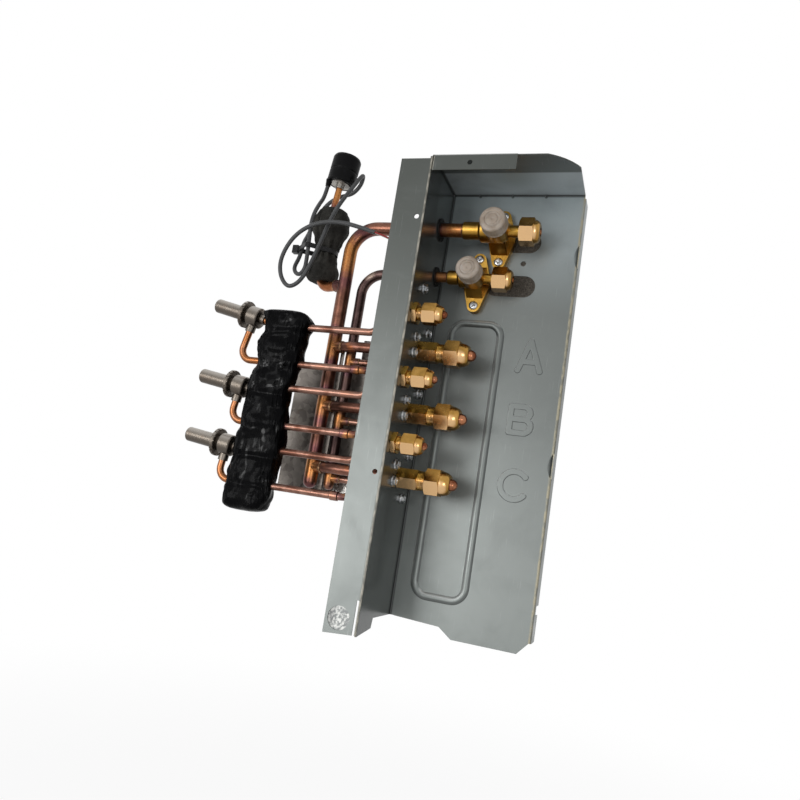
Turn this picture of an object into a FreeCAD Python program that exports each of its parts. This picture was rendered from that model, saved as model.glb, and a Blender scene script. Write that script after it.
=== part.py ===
import FreeCAD, Part
import math
import os

# Refrigerant distributor of a three-circuit outdoor unit, in millimetres.
# Panel datum: x = 0 on the side wall's inner face, y = 0 on the back plate's front face,
# z = 0 on the lower end of the corner between them, +Z up, the viewer on the -Y side.
# The part's own origin is midway between the two flange screw holes, on the flange's front.

Vec = FreeCAD.Vector
X, Y, Z = Vec(1, 0, 0), Vec(0, 1, 0), Vec(0, 0, 1)

# Folded sheet panel
SHEET = 1.0
BEND_INSIDE = 1.0
PLATE_WIDTH = 123.0
PLATE_TOP = 394.5
WALL_DEPTH = 76.0
WALL_TOP_GAP = 0.2
FLANGE_WIDTH = 28.4
FLANGE_DROP = 4.0
FLANGE_TOP = PLATE_TOP - FLANGE_DROP
SIDE_FLANGE_DEPTH = 18.0
SIDE_FLANGE_DROP = 3.5
SIDE_FLANGE_TOP = PLATE_TOP - SIDE_FLANGE_DROP
LIP_DEPTH = 15.0
LIP_WIDTH = 73.0
PLATE_LOW_STEP = (45.0, 57.0, -2.0, -10.5)
PLATE_CHAMFER = (113.0, 10.0)
WALL_LOW_STEP = (42.0, 44.0, 8.0)
WALL_FOOT = 12.0
FLANGE_FOOT = (13.4, 11.2)
SLIT = (3.6, 1.6, 15.5)
LUG_TOP = 21.7
LUG_RELIEF = 7.8
LUG_RELIEF_DEPTH = 12.0
SLIT_FLOOR = 3.0
BEYOND = 40.0
TOP_FRONT_STEP = 2.5
TOP_CORNER = ((98.0, -73.5), (118.0, -58.0), (124.0, -48.0))

# Pressed and cut features of the panel
BEAD_BOX = (17.8, 63.5, 21.0, 267.5)
BEAD_CORNER = 12.0
BEAD_HEIGHT = 1.8
BEAD_WIDTH = 7.0
LOWER_SLOT = (43.5, 88.6, 304.9, 10.1)
UPPER_SLOT = (44.0, 89.0, 347.0, 10.0)
PLATE_HOLE = (75.1, 326.8, 2.5)
LIP_HOLE = (33.6, 386.2, 2.2)
LANCE_HEIGHTS = (146.5, 335.0)
LANCE_CHORD = 24.0
LANCE_DEPTH = 3.5
RELIEF_SLOTS_X = (26.0, 57.0, 88.0)
RELIEF_RADIUS = 1.0
RELIEF_REACH = 2.2
KNOCKOUT = (-16.6, -0.4, 9.4)
KNOCKOUT_STEP = 0.5
FLANGE_SCREW_X = -6.2
FLANGE_SCREW_LOW_Z = 117.0
FLANGE_SCREW_PITCH = 220.0
FLANGE_SCREW_RADIUS = 2.2

# Felt glued behind the valves' slots: left, right, low, high, and its clearance round a screw's end
FELT = (40.0, 95.0, 289.0, 364.0)
FELT_THICKNESS = 2.0
FELT_SCREW_GAP = 1.5

# Copper tube sizes
HALF_INCH = 12.7
THREE_EIGHTHS = 9.52
QUARTER_INCH = 6.35
TUBE_WALL = 0.8
BRAZE_GAP = 0.1
SOCKET_WALL = 0.8
SEAT_GAP = 0.3

# The three circuits, top to bottom, share one pitch
CIRCUIT_PITCH = 56.0
LOW_LONG_PORT_Z = 117.0
LONG_PORT_Y = -32.5
SHORT_PORT_Y = -61.0
SHORT_PORT_RISE = 26.5
OUTLET_RISE = 7.0
RETURN_RISE = 16.0
# name, valve end x, its rise over the long port, tilt in degrees, inlet run's drop
CIRCUITS = (
    ("a", -146.0, 12.2, 12.0, 27.0),
    ("b", -147.0, 3.4, 8.5, 27.0),
    ("c", -149.0, 5.7, 7.0, 24.0),
)

# Headers
GAS_HEADER_X = -86.0
GAS_VALVE_Y = -25.0
GAS_VALVE_Z = 346.8
GAS_HEADER_END_Z = 97.0
GAS_BEND = 25.0
LIQUID_HEADER_X = -71.0
LIQUID_VALVE_Y = -17.0
LIQUID_VALVE_Z = 304.6
LIQUID_HEADER_END_Z = 98.0
LIQUID_BEND = 20.0
TEE_LENGTH = 5.0
TEE_ENTRY = 0.7
BRANCH_KNEE_X = -62.0
BRANCH_BEND = 30.0
RETURN_X = -30.0
RETURN_BEND = 10.0
PIPE_HOLE_GAP = 3.0
GROMMET_LENGTH = 5.0
GROMMET_LIP = 1.2

# Bulkhead unions
UNION_END = -13.0
UNION_SOCKET = 8.5
LONG_UNION = dict(hex=17.0, hex_end=18.3, neck=15.9, nut=22.0, nut_start=25.4, nut_end=38.3,
                  shoulder=8.2, tip=10.0, tip_reach=5.8, barrel=14.0, lock=19.0)
SHORT_UNION = dict(hex=17.0, hex_end=4.5, neck=11.1, nut=17.0, nut_start=9.0, nut_end=21.0,
                   shoulder=5.6, tip=6.8, tip_reach=3.4, barrel=11.1, lock=16.0)
LOCK_NUT = 4.5
THREAD_GAP = 0.1
FLARE = 1.6
FLARE_SEAT_SHARE = 0.6
EDGE_BREAK = 0.6
NUT_MOUTH = 1.1
HEX_BEVEL = 0.12
HEX_CROWN = 0.6
DOME_STEPS = 6

# Service valves: reaches are measured along the valve from the side wall
UPPER_VALVE = dict(pipe=HALF_INCH, collar_start=22.4, body_start=36.8, body_end=62.4, boss=53.5,
                   barrel=21.0, neck=11.0, nut=22.0, nut_start=73.8, nut_end=86.8, shoulder=4.9,
                   cap=23.6, cap_start=38.0, cap_end=52.0)
LOWER_VALVE = dict(pipe=THREE_EIGHTHS, collar_start=12.0, body_start=21.3, body_end=43.4, boss=36.0,
                   barrel=18.0, neck=9.6, nut=20.0, nut_start=53.8, nut_end=66.8, shoulder=4.6,
                   cap=22.0, cap_start=32.0, cap_end=46.0)
COLLAR_WALL = 1.7
EAR_SPACING = 44.0
EAR_RADIUS = 6.0
BASE_RADIUS = 12.5
BASE_THICKNESS = 6.5
EAR_SCREW = 4.0
CAP_WALL = 1.5
STEM_RADIUS = 4.5
STEM_KEY = 5.0
STEM_KEY_DEPTH = 4.0
BODY_TAPER = 2.5
BOSS_LIP = 1.2
BOSS_GAP = 1.5
ARM_SHARE = 0.6
ARM_SPREAD = 1.25
ARM_TOP_SHARE = 0.8
CAP_CROWN = 2.0
CAP_DRAFT = 0.3
BONNET_SINK = 1.0

# Bracket, strap and tape behind the pipes
BRACKET_Y = -2.0
BRACKET_LEFT = -130.0
BRACKET_LOW_Z = 96.0
BRACKET_STEP = (-66.0, 215.0, 243.0)
LEG_DEPTH = 72.0
LEG_Z = (90.0, 290.0)
STRAP_X = (-79.6, -76.1)
STRAP_Z = (97.0, 230.0)
STRAP_Y = -20.2
STRAP_FOOT = 20.0
TAPE_X = (-73.0, -56.0)
TAPE_TOP = 115.0
TAPE_THICKNESS = 0.3

# Wall screws: distance to the front and height over the circuit's long port
WALL_SCREWS = ((-46.0, 10.0), (-47.0, -4.0), (-16.0, 21.0))
EXTRA_WALL_SCREWS = ((-45.7, 283.0), (-17.6, 100.3))
SCREW_RADIUS = 1.95
SCREW_HOLE_GAP = 0.2
SCREW_HEAD = (4.0, 2.4)
WALL_SCREW_HEX = 7.0
WALL_SCREW_WASHER = (4.6, 0.9)
WALL_SCREW_HEIGHT = 3.4
SCREW_HEAD_DOME = ((0.45, 1.0), (0.85, 0.8), (1.0, 0.45))
SCREW_LENGTH = 5.0
SCREW_PAST_PLATE = 3.0
SCREW_POINT = 0.5

# Expansion valves, along the valve from the tube end to the domed tip
VALVE_SOCKET = 5.0
VALVE_BODY = (9.5, 13.0)
VALVE_PORT_REACH = 5.0
INLET_STAND_OFF = 1.0
CAN_RADIUS = 6.5
CAN_LENGTH = 36.0
CAN_NECK = 2.5
CAN_EDGE = 1.6
CAN_RIBS = (4.9, 6.3)
CAN_RIB = (0.8, 0.9)
VALVE_LEDGE = 1.2
VALVE_CHAMFER = 2.0
VALVE_BORE = 1.9
RING_RADIUS = 12.5
RING_THICKNESS = 3.5
RING_TEETH = 18
RING_NOTCH = 1.1
INLET_BEND = 10.0
OUTLET_KNEE_X = (-129.0, -103.0)
OUTLET_BEND = 16.0
OUTLET_RISER_X = -29.0
PORT_BEND = 9.0
SWELL = (-47.5, -41.0, 8.0)

# Damping mastic round the valve tubes, front outline as (x, z)
MASTIC_OUTLINE = ((-143, 250), (-100, 250), (-93, 240), (-98, 222), (-98, 204), (-104, 175), (-101, 150),
                  (-101, 130), (-103, 84), (-109, 68), (-146, 69), (-148, 95), (-145, 123), (-144, 174),
                  (-139, 202), (-142, 218), (-137, 232))
MASTIC_Y = (-73.0, -47.0)
MASTIC_CORNER = 2.6
MASTIC_FILLET = 5.0
MASTIC_VALVE_REACH = 40.0

# Pressure switch on its riser
RISER_X = -119.0
RISER_Y = -12.0
RISER_Z = 290.0
RISER_BEND = 14.0
RISER_SWAGE = (311.0, 317.0)
RISER_LEAN_Z = 372.0
RISER_TOP_X = -116.0
RISER_TOP_Z = 399.0
FOAM_AXIS = (-117.5, -12.0)
FOAM_PROFILE = ((296.0, 16.6), (306.0, 15.6), (326.0, 9.5), (349.0, 18.5), (366.0, 16.0))
FOAM_TOP = 370.0
FOAM_TOP_SHARE = 0.75
SWITCH_CAN = 10.0
SWITCH_DISC = 2.5
SWITCH_HEIGHT = 16.0
SWITCH_SEAT = 1.0
SWITCH_SPIGOT = (4.0, 1.0)
SWITCH_WAIST = 1.2
BOOT_RADIUS = 14.25
BOOT_HEIGHT = 30.0
BOOT_GROOVE = (13.0, 0.6)
BOOT_FOOT = 0.5
BOOT_CROWN = 2.0
SLEEVE_RADIUS = 2.6
SLEEVE_LENGTH = 5.0
SLEEVE_ANGLE = 30.0
SLEEVE_TAPER = 0.4
SLEEVE_ROOT = 3.0

# Switch lead: route of its centre line from the sleeve to the end of its jacket
LEAD_RADIUS = 2.0
LEAD_ROUTE = (
    (-128.0, -17.8, 382.5), (-127.5, -26.5, 371.0), (-126.5, -35.0, 358.0), (-127.5, -36.0, 345.0),
    (-129.0, -31.0, 334.5), (-127.8, -31.0, 314.0), (-127.0, -32.0, 301.0), (-134.5, -29.5, 295.5),
    (-143.5, -25.5, 304.0), (-141.5, -20.0, 318.5), (-141.3, -18.5, 334.0), (-144.0, -8.0, 346.0),
    (-143.5, -1.5, 360.0), (-138.0, -1.0, 375.0), (-129.0, -1.0, 386.5), (-117.0, -1.5, 391.5),
    (-105.0, -2.5, 393.5), (-96.0, -6.0, 402.0), (-92.5, -12.0, 409.5), (-92.5, -20.0, 401.0),
    (-95.5, -29.0, 384.5), (-101.5, -37.0, 364.5), (-107.5, -38.5, 345.0), (-111.5, -39.0, 327.5),
    (-116.0, -40.0, 309.5), (-121.0, -41.0, 293.0), (-127.5, -41.5, 283.0), (-137.0, -41.5, 279.5),
    (-146.5, -42.0, 290.5), (-149.0, -43.0, 306.0), (-142.0, -45.0, 323.0), (-129.5, -47.5, 335.0),
    (-112.5, -48.5, 342.0), (-94.0, -46.5, 344.0), (-75.5, -43.5, 341.5), (-57.5, -40.5, 336.5),
)
LEAD_SHARE = 0.45
WIRE_RADIUS = 0.75
WIRE_SPREAD = 0.9
WIRE_ROUTE = ((-57.5, -40.5, 336.5), (-48.0, -38.9, 333.9), (-39.5, -37.5, 330.0), (-34.5, -36.8, 322.0),
              (-34.5, -36.8, 312.0))
CONNECTOR_SIZE = (11.0, 7.0, 18.0)
CONNECTOR_CHAMFER = 1.0

# Cable tie round the foam's waist and two runs of the lead
TIE_Z = 326.0
TIE_WIDTH = 4.5
TIE_THICKNESS = 1.3
TIE_HEAD = (6.0, 5.5, 8.0)
TIE_GAP = 0.5


def circuit_z(index):
    """Height of a circuit's long port; circuit 0 is the top one."""
    return LOW_LONG_PORT_Z + CIRCUIT_PITCH * (len(CIRCUITS) - 1 - index)


def to_part(shape):
    """Moves a shape from the panel datum to the part's origin."""
    middle = FLANGE_SCREW_LOW_Z + FLANGE_SCREW_PITCH / 2
    return shape.translated(Vec(-FLANGE_SCREW_X, WALL_DEPTH, -middle))


def fuse(shapes):
    """Joins solids that belong to one piece."""
    return shapes[0].multiFuse(shapes[1:]).removeSplitter()


def cut(shape, tools):
    """Takes several tools out of one shape."""
    return shape.cut(Part.makeCompound(tools))


def rounded_edges(points, radii, closed=False):
    """Straight runs through the points, joined by a tangent arc of the given radius at each corner."""
    count = len(points)
    corners = range(count) if closed else range(1, count - 1)
    radii = list(radii) if hasattr(radii, "__iter__") else [radii] * len(corners)
    arcs = {}
    for radius, i in zip(radii, corners):
        corner = points[i]
        before = (corner - points[i - 1]).normalize()
        after = (points[(i + 1) % count] - corner).normalize()
        turn = before.getAngle(after)
        if radius <= 0 or turn < math.radians(0.5):
            continue
        setback = radius * math.tan(turn / 2)
        inward = (after - before).normalize()
        middle = corner + inward * (radius / math.cos(turn / 2) - radius)
        arcs[i] = (corner - before * setback, middle, corner + after * setback)
    edges = []
    for i in range(count if closed else count - 1):
        j = (i + 1) % count
        start = arcs[i][2] if i in arcs else points[i]
        end = arcs[j][0] if j in arcs else points[j]
        if start.distanceToPoint(end) > 1e-6:
            edges.append(Part.LineSegment(start, end).toShape())
        if j in arcs:
            edges.append(Part.Arc(*arcs[j]).toShape())
    return edges


def rod(points, radius, bends, closed=False):
    """Solid round bar along a bent path."""
    edges = rounded_edges(points, bends, closed)
    path = Part.Wire(Part.sortEdges(edges)[0])
    start = edges[0].valueAt(edges[0].FirstParameter)
    along = edges[0].tangentAt(edges[0].FirstParameter)
    ring = Part.Wire(Part.makeCircle(radius, start, along))
    return path.makePipeShell([ring], True, False)


def tube(points, diameter, bends, wall=TUBE_WALL):
    """Bent round tube, open at both ends."""
    outer = rod(points, diameter / 2, bends)
    return outer.cut(rod(points, diameter / 2 - wall, bends))


def turned(profile):
    """Solid of revolution about +X from (x, radius) corners that start and end on the axis."""
    corners = [Vec(x, r, 0) for x, r in profile]
    face = Part.Face(Part.makePolygon(corners + corners[:1]))
    return face.revolve(Vec(), X, 360)


def cylinder(radius, start, end):
    """Round bar between two points."""
    along = end - start
    return Part.makeCylinder(radius, along.Length, start, along)


def aimed(shape, place, direction):
    """Turns a shape made along +X to a direction and carries its origin to a place."""
    result = shape.copy()
    result.Placement = FreeCAD.Placement(place, FreeCAD.Rotation(X, direction))
    return result


def prism(points, depth):
    """Extrudes a closed polygon of points by a vector."""
    return Part.Face(Part.makePolygon(list(points) + [points[0]])).extrude(depth)


def box_between(low, high):
    """Block between two opposite corners."""
    return Part.makeBox(high[0] - low[0], high[1] - low[1], high[2] - low[2], Vec(*low))


def hexagon(across_flats, start, end, bevel=HEX_BEVEL):
    """Hexagonal bar along +X with its corners turned off at both ends."""
    reach = across_flats / math.sqrt(3)
    corners = [Vec(start, reach * math.cos(a), reach * math.sin(a))
               for a in (math.pi * k / 3 for k in range(6))]
    bar = prism(corners, X * (end - start))
    drop = reach * bevel
    crown = drop * HEX_CROWN
    limit = turned(((start, 0), (start, reach - drop), (start + crown, reach), (end - crown, reach),
                    (end, reach - drop), (end, 0)))
    return bar.common(limit)


def shoulder_profile(start, end, wide, narrow):
    """Quarter-ellipse profile that falls from a wide radius at the start to a narrow one at the end."""
    angles = [math.pi / 2 * step / DOME_STEPS for step in range(DOME_STEPS + 1)]
    return [(start + (end - start) * math.sin(a), narrow + (wide - narrow) * math.cos(a)) for a in angles]


def band(points, thickness, inside):
    """Face of a folded sheet's section: a polyline of its middle, given width, with rounded folds."""
    middle = [Vec(a, b, 0) for a, b in points]
    runs = [(q - p).normalize() for p, q in zip(middle, middle[1:])]
    sides = []
    for side in (1, -1):
        line = []
        radii = []
        for i, point in enumerate(middle):
            before = runs[max(i - 1, 0)]
            after = runs[min(i, len(runs) - 1)]
            left = Vec(-before.y - after.y, before.x + after.x, 0)
            line.append(point + left * (side * thickness / 2 / (1 + before.dot(after))))
            turns_left = before.cross(after).z > 0
            radii.append(inside if turns_left == (side > 0) else inside + thickness)
        sides.append((line, radii[1:-1]))
    (left_line, left_radii), (right_line, right_radii) = sides
    edges = rounded_edges(left_line, left_radii)
    edges.append(Part.LineSegment(left_line[-1], right_line[-1]).toShape())
    edges += rounded_edges(right_line, right_radii)
    edges.append(Part.LineSegment(right_line[0], left_line[0]).toShape())
    return Part.Face(Part.Wire(Part.sortEdges(edges)[0]))


def folded_plan(points, thickness, inside, low, high):
    """Sheet whose section lies in plan, given as (x, y), between two heights."""
    shape = band(points, thickness, inside).extrude(Z * (high - low))
    return shape.translated(Z * low)


def folded_side(points, thickness, inside, left, right):
    """Sheet whose section is seen from the side, given as (y, z), between two x."""
    shape = band(points, thickness, inside).extrude(Z * (right - left))
    shape.Placement = FreeCAD.Placement(X * left, FreeCAD.Rotation(Vec(1, 1, 1), 120))
    return shape


def belt(circles):
    """Face inside a belt drawn counter-clockwise round circles given as (centre, radius) in plan."""
    tangents = []
    for (start, r_start), (end, r_end) in zip(circles, circles[1:] + circles[:1]):
        along = end - start
        span = along.Length
        along.normalize()
        lean = (r_start - r_end) / span
        out = Vec(along.y, -along.x, 0) * math.sqrt(1 - lean * lean) + along * lean
        tangents.append((start + out * r_start, end + out * r_end, out))
    edges = []
    for (centre, radius), leaving, arriving in zip(circles, tangents, tangents[-1:] + tangents[:-1]):
        first = math.atan2(arriving[2].y, arriving[2].x)
        sweep = (math.atan2(leaving[2].y, leaving[2].x) - first) % (2 * math.pi)
        middle = centre + Vec(math.cos(first + sweep / 2), math.sin(first + sweep / 2), 0) * radius
        edges.append(Part.Arc(arriving[1], middle, leaving[0]).toShape())
        edges.append(Part.LineSegment(leaving[0], leaving[1]).toShape())
    return Part.Face(Part.Wire(Part.sortEdges(edges)[0]))


def stand_up(shape, place):
    """Turns a shape drawn in plan so that its plan lies in X-Z and its height runs to -Y."""
    result = shape.copy()
    result.Placement = FreeCAD.Placement(place, FreeCAD.Rotation(X, 90))
    return result


def through_plate(shape_in_plan):
    """Cutter through the back plate from an outline drawn in plan as (x, z)."""
    depth = 20.0
    return stand_up(shape_in_plan.extrude(Z * depth), Y * (depth / 2))


def slot_face(x_left, x_right, z, radius):
    """Round-ended slot outline as (x, z) in plan."""
    return belt([(Vec(x_left + radius, z, 0), radius), (Vec(x_right - radius, z, 0), radius)])


def bead_rod(radius):
    """Round bar whose front part shapes the pressed bead."""
    left, right, low, high = BEAD_BOX
    depth = bead_radius() - BEAD_HEIGHT
    middle = (left + right) / 2
    corners = [Vec(middle, depth, low), Vec(right, depth, low), Vec(right, depth, high),
               Vec(left, depth, high), Vec(left, depth, low)]
    return rod(corners, radius, [0] + [BEAD_CORNER] * 4, True)


def bead_radius():
    """Radius of the bead's crest from its width and height."""
    return (BEAD_WIDTH ** 2 / 4 + BEAD_HEIGHT ** 2) / (2 * BEAD_HEIGHT)


def wall_screw_places():
    """Places of the wall screws on the side wall's inner face."""
    places = [Vec(0, y, circuit_z(i) + rise) for i in range(len(CIRCUITS)) for y, rise in WALL_SCREWS]
    return places + [Vec(0, y, z) for y, z in EXTRA_WALL_SCREWS]


def port_places():
    """Places of the long and the short ports on the side wall's inner face."""
    longs = [Vec(0, LONG_PORT_Y, circuit_z(i)) for i in range(len(CIRCUITS))]
    shorts = [Vec(0, SHORT_PORT_Y, place.z + SHORT_PORT_RISE) for place in longs]
    return longs, shorts


def wall_cutters():
    """Holes that the side wall and the bracket's leg share."""
    longs, shorts = port_places()
    half = 6 * SHEET
    holes = [(place, LONG_UNION["barrel"] / 2 + SCREW_HOLE_GAP) for place in longs]
    holes += [(place, SHORT_UNION["barrel"] / 2 + SCREW_HOLE_GAP) for place in shorts]
    holes += [(place, SCREW_RADIUS + SCREW_HOLE_GAP) for place in wall_screw_places()]
    return [cylinder(radius, place - X * half, place + X * half) for place, radius in holes]


def ear_places(valve, height):
    """Places of a service valve's two ears on the back plate's front face."""
    return [Vec(valve["boss"], 0, height + side * EAR_SPACING / 2) for side in (-1, 1)]


def pipe_passages():
    """Places where the headers pass the side wall, with their diameters."""
    return [(Vec(0, GAS_VALVE_Y, GAS_VALVE_Z), HALF_INCH),
            (Vec(0, LIQUID_VALVE_Y, LIQUID_VALVE_Z), THREE_EIGHTHS)]


def folded_blank():
    """Plate, wall and flanges folded in plan, and the top wall folded with its front lip."""
    half = SHEET / 2
    right = PLATE_WIDTH + half
    front = half - WALL_DEPTH
    plan = folded_plan(((-FLANGE_WIDTH, front), (-half, front), (-half, half), (right, half),
                        (right, SIDE_FLANGE_DEPTH)), SHEET, BEND_INSIDE, -BEYOND, PLATE_TOP - 2 * SHEET)
    lip_low = PLATE_TOP - LIP_DEPTH
    top_z = PLATE_TOP - half
    top = folded_side(((half, lip_low), (half, top_z), (front, top_z), (front, lip_low)),
                      SHEET, BEND_INSIDE, 0, PLATE_WIDTH)
    return plan, top


def foot_cutters():
    """Cutters for the stepped lower edges of the plate, the wall and the flange, and for the slit."""
    step_start, step_end, step_top, step_low = PLATE_LOW_STEP
    chamfer_x, chamfer_rise = PLATE_CHAMFER
    right = PLATE_WIDTH + BEYOND
    plate_y = -BEND_INSIDE - SHEET / 2
    plate = prism([Vec(x, plate_y, z) for x, z in (
        (-SHEET, -BEYOND), (-SHEET, 0), (0, 0), (step_start, step_top), (step_end, step_low),
        (chamfer_x, step_low), (PLATE_WIDTH - BEND_INSIDE, step_low + chamfer_rise),
        (right, step_low + chamfer_rise), (right, -BEYOND))], Y * BEYOND)
    front_step, back_step, step_z = WALL_LOW_STEP
    front = -WALL_DEPTH - SHEET
    wall = prism([Vec(-BEND_INSIDE - 3 * SHEET, y, z) for y, z in (
        (SHEET, -BEYOND), (SHEET, 0), (-front_step, 0), (-back_step, -step_z),
        (2 * SHEET - WALL_DEPTH, -WALL_FOOT), (front, -WALL_FOOT), (front, -BEYOND))], X * (8 * SHEET))
    outer_foot, inner_foot = FLANGE_FOOT
    left = -FLANGE_WIDTH - SHEET
    flange = prism([Vec(x, front, z) for x, z in (
        (left, -BEYOND), (left, -outer_foot), (-SHEET, -inner_foot), (-SHEET, -BEYOND))], Y * (3 * SHEET))
    slit_left, slit_right, slit_top = SLIT
    slit = box_between((-slit_left, front, -BEYOND), (-slit_right, SLIT_FLOOR - WALL_DEPTH, slit_top))
    return [plate, wall, flange, slit]


def head_cutters():
    """Cutters for the upper edges of the flange, the wall and the side flange, and for the side lug."""
    front = -WALL_DEPTH - SHEET
    behind = SHEET - WALL_DEPTH
    over = PLATE_TOP + SHEET
    wall_high = PLATE_TOP - SHEET - WALL_TOP_GAP
    fold = PLATE_WIDTH - BEND_INSIDE
    right = PLATE_WIDTH + BEYOND
    return [
        box_between((-FLANGE_WIDTH - SHEET, front, FLANGE_TOP), (-2 * SHEET, behind, over)),
        box_between((-2 * SHEET, front, wall_high), (0, 2 * SHEET, over)),
        box_between((0, front, wall_high), (BEND_INSIDE + SHEET / 2, behind, over)),
        box_between((fold, -SHEET, SIDE_FLANGE_TOP), (right, BEYOND, over)),
        box_between((fold, SIDE_FLANGE_DEPTH - LUG_RELIEF_DEPTH, LUG_TOP),
                    (right, BEYOND, LUG_TOP + LUG_RELIEF)),
    ]


def top_cutters():
    """Cutters for the top wall's rounded front corner and for the left end of its lip."""
    (x_start, y_start), (x_mid, y_mid), (x_end, y_end) = TOP_CORNER
    front = -WALL_DEPTH - SHEET
    under = PLATE_TOP - LIP_DEPTH - SHEET
    start = Vec(x_start, y_start, under)
    end = Vec(x_end, y_end, under)
    lip_end = Vec(LIP_WIDTH + SHEET, front, under)
    step = Vec(LIP_WIDTH, TOP_FRONT_STEP - WALL_DEPTH, under)
    corner = Vec(x_end, front, under)
    edges = [Part.LineSegment(lip_end, step), Part.LineSegment(step, start),
             Part.Arc(start, Vec(x_mid, y_mid, under), end), Part.LineSegment(end, corner),
             Part.LineSegment(corner, lip_end)]
    outline = Part.Face(Part.Wire([edge.toShape() for edge in edges]))
    lip_left = box_between((-SHEET, front, under), (SHEET, 2 * SHEET - WALL_DEPTH, PLATE_TOP - 2 * SHEET))
    return [outline.extrude(Z * (2 * LIP_DEPTH)), lip_left]


def relief_cutters():
    """Round-ended slots across the fold between the plate and the top wall."""
    cutters = []
    for x in RELIEF_SLOTS_X:
        upright = belt([(Vec(x, PLATE_TOP + rise, 0), RELIEF_RADIUS) for rise in (-RELIEF_REACH, SHEET)])
        level = belt([(Vec(x, y, 0), RELIEF_RADIUS) for y in (-RELIEF_REACH, 2 * SHEET)])
        cutters.append(stand_up(upright.extrude(Z * (2 * SHEET)), Y * (2 * SHEET - SHEET / 2)))
        cutters.append(level.extrude(Z * (4 * SHEET)).translated(Z * (PLATE_TOP - 2 * SHEET)))
    return cutters


def lance_cutters():
    """Round bites out of the fold between the plate and its right flange."""
    reach = LANCE_DEPTH + SHEET
    radius = (LANCE_CHORD ** 2 / 4 + reach ** 2) / (2 * reach)
    x = PLATE_WIDTH + SHEET - reach + radius
    return [cylinder(radius, Vec(x, -SHEET, z), Vec(x, BEND_INSIDE + SHEET, z)) for z in LANCE_HEIGHTS]


def hole_cutters():
    """Slots and holes through the plate, the wall, the flange and the lip."""
    front = -WALL_DEPTH - SHEET
    through = 3 * SHEET
    x_hole, z_hole, r_hole = PLATE_HOLE
    x_lip, z_lip, r_lip = LIP_HOLE
    x_knock, z_knock, r_knock = KNOCKOUT
    cutters = [
        through_plate(slot_face(*LOWER_SLOT)),
        through_plate(slot_face(*UPPER_SLOT)),
        cylinder(r_hole, Vec(x_hole, -SHEET, z_hole), Vec(x_hole, through, z_hole)),
        cylinder(r_lip, Vec(x_lip, front, z_lip), Vec(x_lip, 2 * SHEET - WALL_DEPTH, z_lip)),
        cylinder(r_knock, Vec(x_knock, front, z_knock), Vec(x_knock, KNOCKOUT_STEP - WALL_DEPTH, z_knock)),
    ]
    for rise in (0, FLANGE_SCREW_PITCH):
        place = Vec(FLANGE_SCREW_X, front, FLANGE_SCREW_LOW_Z + rise)
        cutters.append(cylinder(FLANGE_SCREW_RADIUS, place, place + Y * through))
    for place, diameter in pipe_passages():
        cutters.append(cylinder(diameter / 2 + PIPE_HOLE_GAP, place - X * (2 * through),
                                place + X * (2 * through)))
    for valve, height in ((UPPER_VALVE, GAS_VALVE_Z), (LOWER_VALVE, LIQUID_VALVE_Z)):
        for place in ear_places(valve, height):
            cutters.append(cylinder(EAR_SCREW / 2 + SCREW_HOLE_GAP, place - Y * SHEET, place + Y * through))
    return cutters


def valve_panel():
    """Panel folded from one sheet, with its pressed bead, slots, lances and knock-out disc."""
    plan, top = folded_blank()
    plan = cut(plan, foot_cutters() + head_cutters())
    top = cut(top, top_cutters())
    crest = bead_radius()
    window = box_between((0, -2 * BEAD_HEIGHT, 0), (PLATE_WIDTH, SHEET / 2, PLATE_TOP))
    sheet = fuse([plan, top, bead_rod(crest).common(window)])
    openings = lance_cutters() + relief_cutters() + wall_cutters() + hole_cutters()
    sheet = cut(sheet, [bead_rod(crest - SHEET)] + openings)
    half_chord = LANCE_CHORD / 2 - SHEET
    tongues = [box_between((PLATE_WIDTH, 0, z - half_chord),
                           (PLATE_WIDTH + SHEET, 2 * SHEET + BEND_INSIDE, z + half_chord))
               for z in LANCE_HEIGHTS]
    x, z, radius = KNOCKOUT
    disc = cylinder(radius - SHEET / 4, Vec(x, SHEET / 2 - WALL_DEPTH, z),
                    Vec(x, SHEET + KNOCKOUT_STEP - WALL_DEPTH, z))
    return {"valve_panel": fuse([sheet, disc] + tongues)}


def slot_felt():
    """Felt sheet glued to the plate's back behind the valves' slots, clear of the ear screws' ends."""
    left, right, low, high = FELT
    sheet = box_between((left, SHEET, low), (right, SHEET + FELT_THICKNESS, high))
    screws = ear_places(UPPER_VALVE, GAS_VALVE_Z) + ear_places(LOWER_VALVE, LIQUID_VALVE_Z)
    radius = EAR_SCREW / 2 + FELT_SCREW_GAP
    return {"slot_felt": cut(sheet, [cylinder(radius, place, place + Y * (4 * SHEET)) for place in screws])}


def pipe_grommets():
    """Rubber grommets between the headers and the side wall, each with a lip on the wall's inner face."""
    grommets = []
    for place, diameter in pipe_passages():
        outer = diameter / 2 + PIPE_HOLE_GAP - BRAZE_GAP
        lip = outer + GROMMET_LIP
        ring = turned(((-GROMMET_LENGTH, 0), (-GROMMET_LENGTH, outer), (SEAT_GAP, outer), (SEAT_GAP, lip),
                       (SEAT_GAP + SHEET, lip), (SEAT_GAP + SHEET, 0)))
        bore = cylinder(diameter / 2 + BRAZE_GAP, X * -BEYOND, X * BEYOND)
        grommets.append(ring.cut(bore).translated(place))
    return {"pipe_grommets": Part.makeCompound(grommets)}


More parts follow.
